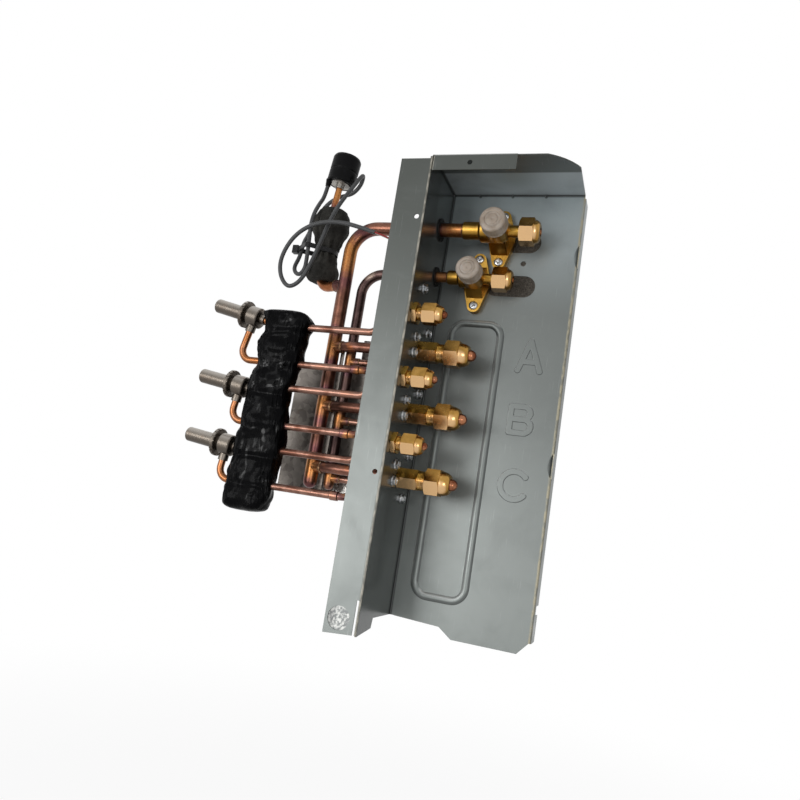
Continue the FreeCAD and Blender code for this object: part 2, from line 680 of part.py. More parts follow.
def pipe_bracket():
    """Plate behind the headers folded to a leg on the side wall's outer face, with strap and tape."""
    leg_x = -SHEET - SHEET / 2
    leg_low, leg_high = LEG_Z
    shape = folded_plan(((BRACKET_LEFT, BRACKET_Y), (leg_x, BRACKET_Y), (leg_x, -LEG_DEPTH)), SHEET,
                        BEND_INSIDE,
                        leg_low, leg_high)
    step_x, low_top, high_top = BRACKET_STEP
    away = 3 * SHEET
    behind = BRACKET_Y - SHEET
    fold_x = leg_x - BEND_INSIDE - SHEET
    over = box_between((BRACKET_LEFT - SHEET, behind, high_top), (fold_x, behind + away, leg_high + SHEET))
    left_over = box_between((BRACKET_LEFT - SHEET, behind, low_top),
                            (step_x, behind + away, leg_high + SHEET))
    under = box_between((BRACKET_LEFT - SHEET, behind, leg_low - SHEET),
                        (fold_x, behind + away, BRACKET_LOW_Z))
    bracket = cut(shape, [over, left_over, under] + wall_cutters())
    plate_front = BRACKET_Y - SHEET / 2
    foot_y = plate_front - SHEET / 2
    low, high = STRAP_Z
    strap = folded_side(((foot_y, low + STRAP_FOOT), (foot_y, low), (STRAP_Y, low), (STRAP_Y, high),
                         (foot_y, high), (foot_y, high - 1.5 * STRAP_FOOT)), SHEET, SHEET / 2, *STRAP_X)
    front = plate_front - TAPE_THICKNESS / 2
    back = BRACKET_Y + SHEET / 2 + TAPE_THICKNESS / 2
    fold_z = BRACKET_LOW_Z - TAPE_THICKNESS / 2
    tape = folded_side(((front, TAPE_TOP), (front, fold_z), (back, fold_z), (back, TAPE_TOP - 5 * SHEET)),
                       TAPE_THICKNESS, 0, *TAPE_X)
    return {"pipe_bracket": bracket, "pipe_strap": strap, "foil_tape": tape}


def tee_collar(axis_point, direction, header, branch):
    """Collar pulled out of a header, as the outer bar and the bore."""
    outer = branch / 2 + BRAZE_GAP + SOCKET_WALL
    end = axis_point + direction * (header / 2 + TEE_LENGTH)
    return cylinder(outer, axis_point, end), cylinder(branch / 2 + BRAZE_GAP, axis_point, end)


def header(points, diameter, bend, tees):
    """Header tube with a domed end at its last point and a pulled collar for each branch."""
    end = points[-1] + Z * (diameter / 2)
    path = points[:-1] + [end]
    inner = diameter / 2 - TUBE_WALL
    collars = [tee_collar(place, direction, diameter, branch) for place, direction, branch in tees]
    outer = fuse([rod(path, diameter / 2, bend),
                  Part.makeSphere(diameter / 2, end)] + [c[0] for c in collars])
    return cut(outer, [rod(path, inner, bend), Part.makeSphere(inner, end)] + [c[1] for c in collars])


def branch_start(axis_point, direction, header_diameter):
    """Where a branch tube ends inside its collar, just outside the header's bore."""
    return axis_point + direction * (header_diameter / 2 + TEE_ENTRY)


def branch_direction():
    """Direction of the gas branches from the header to their knee."""
    return Vec(BRANCH_KNEE_X - GAS_HEADER_X, LONG_PORT_Y - GAS_VALVE_Y, 0).normalize()


def riser_direction():
    """Direction of the switch riser from the header to its bend."""
    return Vec(RISER_X - GAS_HEADER_X, RISER_Y - GAS_VALVE_Y, 0).normalize()


def union_seat():
    """Where a tube's end stands inside a bulkhead union's socket."""
    return UNION_END + UNION_SOCKET - SHEET


def return_height(index):
    """Height at which a circuit's liquid tube reaches the liquid header."""
    return circuit_z(index) - CIRCUITS[index][4] + RETURN_RISE


def headers():
    """Gas header and liquid header."""
    indices = range(len(CIRCUITS))
    gas_tees = [(Vec(GAS_HEADER_X, GAS_VALVE_Y, circuit_z(i)), branch_direction(),
                 THREE_EIGHTHS) for i in indices]
    gas_tees.append((Vec(GAS_HEADER_X, GAS_VALVE_Y, RISER_Z), riser_direction(), THREE_EIGHTHS))
    liquid_tees = [(Vec(LIQUID_HEADER_X, LIQUID_VALVE_Y, return_height(i)), X, QUARTER_INCH) for i in indices]
    gas_start = UPPER_VALVE["body_start"] - UNION_SOCKET / 2
    liquid_start = LOWER_VALVE["body_start"] - UNION_SOCKET / 2
    gas = [Vec(gas_start, GAS_VALVE_Y, GAS_VALVE_Z), Vec(GAS_HEADER_X, GAS_VALVE_Y, GAS_VALVE_Z),
           Vec(GAS_HEADER_X, GAS_VALVE_Y, GAS_HEADER_END_Z)]
    liquid = [Vec(liquid_start, LIQUID_VALVE_Y, LIQUID_VALVE_Z),
              Vec(LIQUID_HEADER_X, LIQUID_VALVE_Y, LIQUID_VALVE_Z),
              Vec(LIQUID_HEADER_X, LIQUID_VALVE_Y, LIQUID_HEADER_END_Z)]
    return {"gas_header_pipe": header(gas, HALF_INCH, GAS_BEND, gas_tees),
            "liquid_header_pipe": header(liquid, THREE_EIGHTHS, LIQUID_BEND, liquid_tees)}


def valve_axis(index):
    """Place of a circuit's valve end and the direction towards its tip."""
    _, x, rise, tilt, _ = CIRCUITS[index]
    angle = math.radians(tilt)
    return Vec(x, SHORT_PORT_Y, circuit_z(index) + rise), Vec(-math.cos(angle), 0, math.sin(angle))


def side_port(index):
    """Place on the valve's axis where its side port leaves, and the port's direction."""
    end, along = valve_axis(index)
    return end + along * (VALVE_BODY[1] / 2), Vec(-along.z, 0, along.x)


def outlet_route(index):
    """Centre line of the tube from a valve's end to its short port."""
    end, along = valve_axis(index)
    level = circuit_z(index) + OUTLET_RISE
    first_x, second_x = OUTLET_KNEE_X
    knee = end + along * ((first_x - end.x) / along.x)
    port_z = circuit_z(index) + SHORT_PORT_RISE
    return [end + along * (VALVE_SOCKET / 2 - VALVE_SOCKET), knee, Vec(second_x, SHORT_PORT_Y, level),
            Vec(OUTLET_RISER_X, SHORT_PORT_Y, level), Vec(OUTLET_RISER_X, SHORT_PORT_Y, port_z),
            Vec(union_seat(), SHORT_PORT_Y, port_z)]


def inlet_route(index):
    """Centre line of the tube from a valve's side port round to the liquid header."""
    start, down = side_port(index)
    level = circuit_z(index) - CIRCUITS[index][4]
    back = return_height(index)
    corner = start + down * ((level - start.z) / down.z)
    header_point = Vec(LIQUID_HEADER_X, LIQUID_VALVE_Y, back)
    return [start + down * (VALVE_BODY[0] + INLET_STAND_OFF), corner, Vec(RETURN_X, SHORT_PORT_Y, level),
            Vec(RETURN_X, LIQUID_VALVE_Y, back), branch_start(header_point, X, THREE_EIGHTHS)]


def circuit_tubes():
    """Gas branch, valve outlet tube and valve inlet tube of each circuit."""
    shapes = {}
    for i, (name, *_) in enumerate(CIRCUITS):
        z = circuit_z(i)
        start = branch_start(Vec(GAS_HEADER_X, GAS_VALVE_Y, z), branch_direction(), HALF_INCH)
        branch = [start, Vec(BRANCH_KNEE_X, LONG_PORT_Y, z), Vec(union_seat(), LONG_PORT_Y, z)]
        shapes["gas_branch_" + name] = tube(branch, THREE_EIGHTHS, BRANCH_BEND)
        shapes["outlet_tube_" + name] = tube(outlet_route(i), QUARTER_INCH,
                                             [OUTLET_BEND, OUTLET_BEND, PORT_BEND, PORT_BEND])
        inlet = rod(inlet_route(i), QUARTER_INCH / 2, [INLET_BEND] + [RETURN_BEND] * 3)
        swell_start, swell_end, swell = SWELL
        level = z - CIRCUITS[i][4]
        slope = swell / 2 - QUARTER_INCH / 2 + TUBE_WALL / 2
        inner = swell / 2 - slope
        joint = turned(((swell_start - slope, 0), (swell_start - slope, inner), (swell_start, swell / 2),
                        (swell_end, swell / 2), (swell_end + slope, inner), (swell_end + slope, 0)))
        bore = rod(inlet_route(i), QUARTER_INCH / 2 - TUBE_WALL, [INLET_BEND] + [RETURN_BEND] * 3)
        inlet = fuse([inlet, joint.translated(Vec(0, SHORT_PORT_Y, level))])
        shapes["inlet_tube_" + name] = inlet.cut(bore)
    return shapes


def valve_can_shape(seat):
    """Sealed can with its neck, two rolled ribs and rounded flat end, along +X."""
    radius, length = VALVE_BODY
    rib_width, rib_height = CAN_RIB
    crown = length + CAN_LENGTH
    profile = [(length, 0), (length, radius - CAN_NECK), (seat, radius - CAN_NECK), (seat, CAN_RADIUS)]
    for start in CAN_RIBS:
        low = seat + start
        high = low + rib_width
        profile += [(low, CAN_RADIUS), (low, CAN_RADIUS + rib_height), (high, CAN_RADIUS + rib_height),
                    (high, CAN_RADIUS)]
    profile += shoulder_profile(crown - CAN_EDGE, crown, CAN_RADIUS, CAN_RADIUS - CAN_EDGE)
    return turned(profile + [(crown, 0)])


def valve_ring_shape():
    """Toothed ring with its hole, along +X."""
    edge = SHEET / 2
    ring = turned(((0, 0), (0, RING_RADIUS - edge), (edge, RING_RADIUS), (RING_THICKNESS - edge, RING_RADIUS),
                   (RING_THICKNESS, RING_RADIUS - edge), (RING_THICKNESS, 0)))
    notch = box_between((-SHEET, RING_RADIUS - RING_NOTCH, -RING_NOTCH / 2),
                        (RING_THICKNESS + SHEET, RING_RADIUS + SHEET, RING_NOTCH / 2))
    notches = []
    for k in range(RING_TEETH):
        tooth = notch.copy()
        tooth.rotate(Vec(), X, 360.0 * k / RING_TEETH)
        notches.append(tooth)
    hole = cylinder(CAN_RADIUS + SEAT_GAP, X * -SHEET, X * (RING_THICKNESS + SHEET))
    return cut(ring, [hole] + notches)


def valve_body_shape(index):
    """Expansion valve body with its end socket, side port and bores."""
    radius, length = VALVE_BODY
    tube_hole = QUARTER_INCH / 2 + BRAZE_GAP
    socket = tube_hole + VALVE_LEDGE
    end, along = valve_axis(index)
    start, down = side_port(index)
    reach = radius + VALVE_PORT_REACH
    profile = ((-VALVE_SOCKET, 0), (-VALVE_SOCKET, socket), (-SHEET, socket), (0, radius - SHEET),
               (SHEET, radius),
               (length - VALVE_CHAMFER, radius), (length, radius - VALVE_CHAMFER), (length, 0))
    body = fuse([aimed(turned(profile), end, along), cylinder(socket, start, start + down * reach)])
    return cut(body, [
        cylinder(tube_hole, end - along * (VALVE_SOCKET + SHEET),
                 end - along * (VALVE_SOCKET / 2 - BRAZE_GAP)),
        cylinder(tube_hole, start + down * (radius + SEAT_GAP), start + down * (reach + SHEET)),
        cylinder(VALVE_BORE, start, start + down * reach),
        cylinder(VALVE_BORE, end - along * VALVE_SOCKET, start)])


def expansion_valves():
    """Body, sealed can and toothed ring of each expansion valve."""
    ring_seat = VALVE_BODY[1] + VALVE_LEDGE
    can = valve_can_shape(ring_seat)
    ring = valve_ring_shape()
    shapes = {}
    for i, (name, *_) in enumerate(CIRCUITS):
        end, along = valve_axis(i)
        shapes["valve_body_" + name] = valve_body_shape(i)
        shapes["valve_can_" + name] = aimed(can, end, along)
        shapes["valve_ring_" + name] = aimed(ring, end + along * ring_seat, along)
    return shapes


def mastic_block():
    """Slab of damping mastic pressed over the valve tubes, with their channels."""
    front, back = MASTIC_Y
    corners = [Vec(x, front, z) for x, z in MASTIC_OUTLINE]
    outline = Part.Wire(Part.sortEdges(rounded_edges(corners, MASTIC_CORNER, True))[0])
    slab = Part.Face(outline).extrude(Y * (back - front))
    rim = [edge for edge in slab.Edges if edge.BoundBox.YMax < front + SHEET]
    slab = slab.makeFillet(MASTIC_FILLET, rim)
    channel = QUARTER_INCH / 2 + SEAT_GAP
    channels = []
    for i in range(len(CIRCUITS)):
        channels.append(rod(outlet_route(i), channel, [OUTLET_BEND, OUTLET_BEND, PORT_BEND, PORT_BEND]))
        channels.append(rod(inlet_route(i), channel, [INLET_BEND] + [RETURN_BEND] * 3))
        end, along = valve_axis(i)
        channels.append(cylinder(VALVE_BODY[0] + SEAT_GAP, end - along * (VALVE_SOCKET + SEAT_GAP),
                                 end + along * MASTIC_VALVE_REACH))
        start, down = side_port(i)
        port = channel + VALVE_LEDGE + BRAZE_GAP
        channels.append(cylinder(port, start, start + down * (VALVE_BODY[0] + VALVE_PORT_REACH + SEAT_GAP)))
    return {"mastic_block": cut(slab, channels)}


def domed_nut(size, bore, mouth):
    """Hexagonal nut along +X with a domed shoulder, bored for its neck and for what its mouth lets out."""
    end = size["nut_end"]
    rim = size["nut"] / 2 - EDGE_BREAK
    top = end + size["shoulder"]
    seat = flare_seat(size)
    profile = [(end - SHEET, 0)] + shoulder_profile(end, top, rim, mouth + NUT_MOUTH)
    profile.insert(1, (end - SHEET, rim))
    nut = fuse([hexagon(size["nut"], size["nut_start"], end), turned(profile + [(top, 0)])])
    return cut(nut, [cylinder(bore, X * (size["nut_start"] - SHEET), X * (seat + FLARE + THREAD_GAP)),
                     cylinder(mouth, X * seat, X * (top + SHEET))])


def flare_seat(size):
    """Distance along a union or valve at which its flare cone ends."""
    return size["nut_start"] + (size["nut_end"] - size["nut_start"]) * FLARE_SEAT_SHARE


def bonnet(size, tip, end):
    """Copper sealing bonnet along +X: a flared flange, a tube and a round end, hollow inside."""
    seat = flare_seat(size)
    flange = size["neck"] / 2 - FLARE / 2
    crown = end - tip
    shape = fuse([
        turned(((seat + THREAD_GAP, 0), (seat + THREAD_GAP, flange), (seat + FLARE, flange),
                (seat + FLARE, tip),
                (crown, tip), (crown, 0))),
        Part.makeSphere(tip, X * crown),
    ])
    return shape.cut(cylinder(tip - TUBE_WALL, X * seat, X * crown))


def union(size, tube_diameter):
    """Bulkhead union, nut and sealing bonnet along +X from the wall's inner face."""
    neck = size["neck"] / 2
    seat = flare_seat(size)
    tip = size["tip"] / 2
    barrel = size["barrel"] / 2
    body = fuse([
        hexagon(size["hex"], 0, size["hex_end"]),
        turned(((UNION_END, 0), (UNION_END, barrel - EDGE_BREAK), (UNION_END + EDGE_BREAK, barrel),
                (0, barrel),
                (0, neck), (seat - FLARE, neck), (seat, neck - FLARE), (seat, 0))),
    ])
    bore = tip - FLARE
    body = cut(body, [cylinder(tube_diameter / 2 + BRAZE_GAP, X * (UNION_END - SHEET),
                               X * (UNION_END + UNION_SOCKET)),
                      cylinder(bore, X * UNION_END, X * (seat + SHEET))])
    nut = domed_nut(size, neck + THREAD_GAP, tip + THREAD_GAP)
    return body, nut, bonnet(size, tip, size["nut_end"] + size["shoulder"] + size["tip_reach"])


def lock_nut(size):
    """Thin nut on a union's barrel behind the bracket's leg."""
    start = -2 * SHEET
    nut = hexagon(size["lock"], start - LOCK_NUT, start)
    return nut.cut(cylinder(size["barrel"] / 2 + THREAD_GAP, X * (start - LOCK_NUT - SHEET),
                            X * (start + SHEET)))


def ports():
    """Long and short bulkhead ports of the three circuits with nuts, bonnets and lock nuts."""
    shapes = {}
    for kind, size, diameter, places in zip(("long", "short"), (LONG_UNION, SHORT_UNION),
                                            (THREE_EIGHTHS, QUARTER_INCH), port_places()):
        body, nut, cap = union(size, diameter)
        lock = lock_nut(size)
        for (name, *_), place in zip(CIRCUITS, places):
            shapes[kind + "_port_" + name] = body.translated(place)
        shapes[kind + "_port_nuts"] = Part.makeCompound([nut.translated(place) for place in places])
        shapes[kind + "_port_bonnets"] = Part.makeCompound([cap.translated(place) for place in places])
        shapes[kind + "_port_lock_nuts"] = Part.makeCompound([lock.translated(place) for place in places])
    return shapes


def forged_body(size, y, z):
    """Service valve body: spindle along +X, boss towards the viewer, eared foot and the web between."""
    place = Vec(0, y, z)
    boss_x = size["boss"]
    middle = Vec(boss_x, y, z)
    barrel = size["barrel"] / 2
    neck = size["neck"] / 2
    collar = size["pipe"] / 2 + COLLAR_WALL
    seat = flare_seat(size)
    start, body_start, body_end = size["collar_start"], size["body_start"], size["body_end"]
    edge = SHEET / 2
    spindle = turned((
        (start, 0), (start, collar - edge), (start + edge, collar), (body_start, collar),
        (body_start + BODY_TAPER, barrel), (body_end - BODY_TAPER - SHEET, barrel),
        (body_end, barrel - BODY_TAPER),
        (body_end + SHEET, neck), (seat - FLARE, neck), (seat, neck - FLARE), (seat, 0))).translated(place)
    boss_radius = size["cap"] / 2 - CAP_WALL - SEAT_GAP
    boss = fuse([cylinder(boss_radius + BOSS_LIP, middle, Vec(boss_x, -size["cap_start"] + SEAT_GAP, z)),
                 cylinder(boss_radius, middle, Vec(boss_x, boss_end(size), z))])
    ears = [Vec(ear.x, ear.z, 0) for ear in ear_places(size, z)]
    centre = Vec(boss_x, z, 0)
    outline = belt([(ears[0], EAR_RADIUS), (centre, BASE_RADIUS), (ears[1], EAR_RADIUS),
                    (centre, BASE_RADIUS)])
    base = stand_up(outline.extrude(Z * BASE_THICKNESS), Vec())
    half_width = BASE_RADIUS * ARM_SHARE
    low_half = BASE_RADIUS * ARM_SPREAD
    top_half = barrel * ARM_TOP_SHARE
    web = prism([Vec(boss_x - half_width, SHEET - BASE_THICKNESS, z - low_half),
                 Vec(boss_x - half_width, SHEET - BASE_THICKNESS, z + low_half),
                 Vec(boss_x - half_width, y, z + top_half),
                 Vec(boss_x - half_width, y, z - top_half)], X * (2 * half_width))
    hole = EAR_SCREW / 2 + SCREW_HOLE_GAP
    stem_end = Vec(boss_x, boss_end(size) - SHEET, z)
    return cut(fuse([spindle, boss, base, web]), [
        cylinder(size["pipe"] / 2 + BRAZE_GAP, place + X * (start - SHEET), place + X * body_start),
        cylinder(size["pipe"] / 4, place + X * start, place + X * (seat + SHEET)),
        cylinder(STEM_RADIUS + THREAD_GAP, middle - Y * (barrel / 2), stem_end),
    ] + [cylinder(hole, ear + Y, ear - Y * (BASE_THICKNESS + SHEET)) for ear in ear_places(size, z)])


def boss_end(size):
    """Y of the end of a service valve's boss under its cap."""
    return CAP_WALL + BOSS_GAP - size["cap_end"]


def valve_stem(size, y, z):
    """Stem with a hexagonal key socket in its outer end."""
    top = boss_end(size) + STEM_KEY_DEPTH / 2
    stem = cylinder(STEM_RADIUS, Vec(size["boss"], y - size["barrel"] / 4, z), Vec(size["boss"], top, z))
    return stem.cut(aimed(hexagon(STEM_KEY, 0, STEM_KEY_DEPTH + SHEET, 0), Vec(size["boss"], top - SHEET, z),
                          Y))


def valve_cap(size, z):
    """Hollow plastic cap over a service valve's boss."""
    radius = size["cap"] / 2
    start, end = size["cap_start"], size["cap_end"]
    profile = ((start, 0), (start, radius), (end - CAP_CROWN, radius - CAP_DRAFT),
               (end, radius - CAP_DRAFT - CAP_CROWN), (end, 0))
    cap = aimed(turned(profile), Vec(size["boss"], 0, z), Y * -1)
    return cap.cut(cylinder(radius - CAP_WALL, Vec(size["boss"], SHEET - start, z),
                            Vec(size["boss"], CAP_WALL - end, z)))


def service_valve(prefix, size, y, z):
    """Forged two-way service valve with its stem, cap, nut and sealing bonnet."""
    neck = size["neck"] / 2
    tip = neck - FLARE
    place = Vec(0, y, z)
    inner_end = size["nut_end"] + size["shoulder"] - BONNET_SINK
    return {
        prefix + "_valve_body": forged_body(size, y, z),
        prefix + "_valve_stem": valve_stem(size, y, z),
        prefix + "_valve_cap": valve_cap(size, z),
        prefix + "_valve_nut": domed_nut(size, neck + THREAD_GAP, tip + THREAD_GAP).translated(place),
        prefix + "_valve_bonnet": bonnet(size, tip, inner_end).translated(place),
    }


def pan_screw(radius, length):
    """Pan-head screw along +X with its head's underside at x = 0 and its shank to -X."""
    head, height = SCREW_HEAD
    profile = [(-length, 0), (-length, radius - SCREW_POINT), (-length + SCREW_POINT, radius), (0, radius),
               (0, head)]
    profile += [(height * rise, head * share) for rise, share in SCREW_HEAD_DOME]
    return turned(profile + [(height, 0)])


def washer_screw():
    """Hexagon-head screw along +X with a washer face whose underside is at x = 0 and its shank to -X."""
    radius, thickness = WALL_SCREW_WASHER
    edge = thickness / 2
    shank = turned(((-SCREW_LENGTH, 0), (-SCREW_LENGTH, SCREW_RADIUS - SCREW_POINT),
                    (-SCREW_LENGTH + SCREW_POINT, SCREW_RADIUS), (0, SCREW_RADIUS), (0, radius),
                    (edge, radius),
                    (thickness, radius - edge), (thickness, 0)))
    return fuse([shank, hexagon(WALL_SCREW_HEX, edge, WALL_SCREW_HEIGHT)])


def screws():
    """Wall screws and the four screws of the service valves' ears."""
    wall = washer_screw()
    ear = pan_screw(EAR_SCREW / 2, BASE_THICKNESS + SHEET + SCREW_PAST_PLATE)
    ears = ear_places(UPPER_VALVE, GAS_VALVE_Z) + ear_places(LOWER_VALVE, LIQUID_VALVE_Z)
    return {"wall_screws": Part.makeCompound([wall.translated(place) for place in wall_screw_places()]),
            "valve_ear_screws": Part.makeCompound([aimed(ear, place - Y * BASE_THICKNESS,
                                                         Y * -1) for place in ears])}


def riser(clearance=0.0):
    """Swaged riser tube as a solid bar, grown by a clearance."""
    low, high = RISER_SWAGE
    bend_point = Vec(RISER_X, RISER_Y, RISER_Z)
    start = branch_start(Vec(GAS_HEADER_X, GAS_VALVE_Y, RISER_Z), riser_direction(), HALF_INCH)
    swage_low, swage_high = Vec(RISER_X, RISER_Y, low), Vec(RISER_X, RISER_Y, high)
    wide, narrow = THREE_EIGHTHS / 2 + clearance, QUARTER_INCH / 2 + clearance
    return fuse([
        rod([start, bend_point, swage_low], wide, RISER_BEND),
        Part.makeCone(wide, narrow, high - low, swage_low, Z),
        rod([swage_high, Vec(RISER_X, RISER_Y, RISER_LEAN_Z), Vec(RISER_TOP_X, RISER_Y, RISER_TOP_Z)], narrow,
            2 * RISER_BEND),
    ])


def foam_wrap():
    """Foam wrapped round the riser, tied in at its waist."""
    foam_x, foam_y = FOAM_AXIS
    points = [Vec(radius, 0, z) for z, radius in FOAM_PROFILE]
    side = Part.BSplineCurve()
    side.interpolate(points)
    rim = Vec(points[-1].x * FOAM_TOP_SHARE, 0, FOAM_TOP)
    top = Vec(0, 0, FOAM_TOP)
    bottom = Vec(0, 0, points[0].z)
    lines = [Part.LineSegment(points[-1], rim), Part.LineSegment(rim, top), Part.LineSegment(top, bottom),
             Part.LineSegment(bottom, points[0])]
    outline = Part.Wire([side.toShape()] + [line.toShape() for line in lines])
    foam = Part.Face(outline).revolve(Vec(), Z, 360).translated(Vec(foam_x, foam_y, 0))
    return foam.cut(riser(SEAT_GAP))


def can_shape():
    """Switch can along +X with the spigot that the riser's end enters."""
    tube_hole = QUARTER_INCH / 2 + BRAZE_GAP
    spigot, wall = SWITCH_SPIGOT
    waist = SWITCH_CAN - SWITCH_WAIST
    can = turned(((-spigot, 0), (-spigot, tube_hole + wall), (0, tube_hole + wall), (0, SWITCH_CAN),
                  (SWITCH_DISC, SWITCH_CAN), (SWITCH_DISC + SHEET, waist), (SWITCH_HEIGHT, waist),
                  (SWITCH_HEIGHT, 0)))
    return can.cut(cylinder(tube_hole, X * (-spigot - SHEET), X * (SWITCH_SEAT + BRAZE_GAP)))


def boot_shape():
    """Rubber boot along +X with a groove and the sleeve that the lead leaves by, and the sleeve's place."""
    depth, groove = BOOT_GROOVE
    foot = BOOT_FOOT + EDGE_BREAK
    drum = turned(((BOOT_FOOT, 0), (BOOT_FOOT, BOOT_RADIUS - EDGE_BREAK), (foot, BOOT_RADIUS),
                   (depth, BOOT_RADIUS),
                   (depth + groove, BOOT_RADIUS - groove), (depth + 2 * groove, BOOT_RADIUS),
                   (BOOT_HEIGHT - BOOT_CROWN, BOOT_RADIUS), (BOOT_HEIGHT, BOOT_RADIUS - BOOT_CROWN),
                   (BOOT_HEIGHT, 0)))
    sleeve = turned(((-SLEEVE_LENGTH, 0), (-SLEEVE_LENGTH, SLEEVE_RADIUS - SLEEVE_TAPER),
                     (BOOT_FOOT, SLEEVE_RADIUS),
                     (SLEEVE_ROOT, 0)))
    angle = math.radians(SLEEVE_ANGLE)
    place = Vec(0, math.cos(angle), math.sin(angle)) * (BOOT_RADIUS - SLEEVE_RADIUS)
    hollow = cylinder(SWITCH_CAN + SEAT_GAP, X * (-SLEEVE_LENGTH - SHEET), X * (SWITCH_HEIGHT + SEAT_GAP))
    return fuse([drum, sleeve.translated(place)]).cut(hollow), place


def pressure_switch():
    """Riser, foam wrap, switch can and its rubber boot, with the point where the lead leaves the boot."""
    top = Vec(RISER_TOP_X, RISER_Y, RISER_TOP_Z)
    up = (top - Vec(RISER_X, RISER_Y, RISER_LEAN_Z)).normalize()
    across = Vec(-up.z, 0, up.x)
    frame = FreeCAD.Placement(top - up * SWITCH_SEAT, FreeCAD.Rotation(up, across, Vec(), "XYZ"))
    can = can_shape()
    boot, sleeve_place = boot_shape()
    for shape in (can, boot):
        shape.Placement = frame
    exit_point = frame.multVec(sleeve_place - X * SLEEVE_LENGTH)
    print("lead exit", [round(value, 2) for value in exit_point], "down", [round(-value, 3) for value in up])
    return {"riser_tube": riser().cut(riser(-TUBE_WALL)), "foam_wrap": foam_wrap(), "switch_can": can,
            "switch_boot": boot}, exit_point


def run_radii(points):
    """Largest tangent arc at each corner of a free lead: a share of the shorter of its two runs."""
    radii = []
    for before, corner, after in zip(points, points[1:], points[2:]):
        turn = (corner - before).getAngle(after - corner)
        shorter = min((corner - before).Length, (after - corner).Length)
        radii.append(LEAD_SHARE * shorter / math.tan(turn / 2))
    return radii


def switch_lead(exit_point):
    """Grey lead, its two cores and the connector behind the flange."""
    route = [exit_point] + [Vec(*point) for point in LEAD_ROUTE]
    radii = run_radii(route)
    print("lead radii", [round(radius, 1) for radius in radii])
    lead = rod(route, LEAD_RADIUS, radii)
    along = (route[-1] - route[-2]).normalize()
    side = along.cross(Z).normalize()
    cores = [[Vec(*point) + side * (sign * WIRE_SPREAD) for point in WIRE_ROUTE] for sign in (-1, 1)]
    shapes = {}
    for name, points in zip(("switch_core_white", "switch_core_red"), cores):
        shapes[name] = rod(points, WIRE_RADIUS, run_radii(points))
    wide, deep, tall = CONNECTOR_SIZE
    x, y, z = WIRE_ROUTE[-1]
    housing = box_between((x - wide / 2, y - deep / 2, z - tall), (x + wide / 2, y + deep / 2, z))
    upright = [edge for edge in housing.Edges if edge.BoundBox.ZLength > tall / 2]
    shapes["switch_lead"] = lead
    shapes["lead_connector"] = housing.makeChamfer(CONNECTOR_CHAMFER, upright)
    length = sum(edge.Length for edge in rounded_edges(route, radii))
    print("lead length", round(length, 1), "volume share",
          round(lead.Volume / (math.pi * LEAD_RADIUS ** 2 * length), 4))
    return shapes, route


def cable_tie(route):
    """Tie drawn round the foam's waist and two runs of the lead, with its square head."""
    foam_x, foam_y = FOAM_AXIS
    waist = min(radius for _, radius in FOAM_PROFILE)
    circles = [(Vec(foam_x, foam_y, 0), waist + TIE_GAP)]
    first_down, first_up, *_ = [(start, end) for start, end in zip(route, route[1:])
                                if min(start.z, end.z) < TIE_Z < max(start.z, end.z)]
    for start, end in (first_down, first_up):
        share = (TIE_Z - start.z) / (end.z - start.z)
        point = start + (end - start) * share
        circles.append((Vec(point.x, point.y, 0), LEAD_RADIUS + TIE_GAP))
    order = [circles[0], circles[2], circles[1]]
    inner = belt(order)
    outer = belt([(centre, radius + TIE_THICKNESS) for centre, radius in order])
    loop = outer.extrude(Z * TIE_WIDTH).cut(inner.extrude(Z * TIE_WIDTH))
    head_x, head_y, head_z = TIE_HEAD
    corner = circles[2][0] - X * (LEAD_RADIUS + TIE_GAP + TIE_THICKNESS / 2)
    block = box_between((corner.x - head_x, corner.y - head_y / 2, (TIE_WIDTH - head_z) / 2),
                        (corner.x, corner.y + head_y / 2, (TIE_WIDTH + head_z) / 2))
    return {"cable_tie": fuse([loop, block]).translated(Z * (TIE_Z - TIE_WIDTH / 2))}


def build():
    """All sub-parts by name, in the panel datum."""
    shapes = {}
    for group in (valve_panel, slot_felt, pipe_grommets, pipe_bracket, headers, circuit_tubes,
                  expansion_valves,
                  mastic_block, ports, screws):
        shapes.update(group())
    shapes.update(service_valve("upper", UPPER_VALVE, GAS_VALVE_Y, GAS_VALVE_Z))
    shapes.update(service_valve("lower", LOWER_VALVE, LIQUID_VALVE_Y, LIQUID_VALVE_Z))
    switch, exit_point = pressure_switch()
    shapes.update(switch)
    lead, route = switch_lead(exit_point)
    shapes.update(lead)
    shapes.update(cable_tie(route))
    return shapes


os.makedirs("parts", exist_ok=True)
for name, shape in build().items():
    to_part(shape).exportStep("parts/" + name + ".step")
    print(name, len(shape.Solids), round(shape.Volume, 1), shape.isValid())
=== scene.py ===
import math

import bpy
import numpy as np
from mathutils import Matrix, Vector


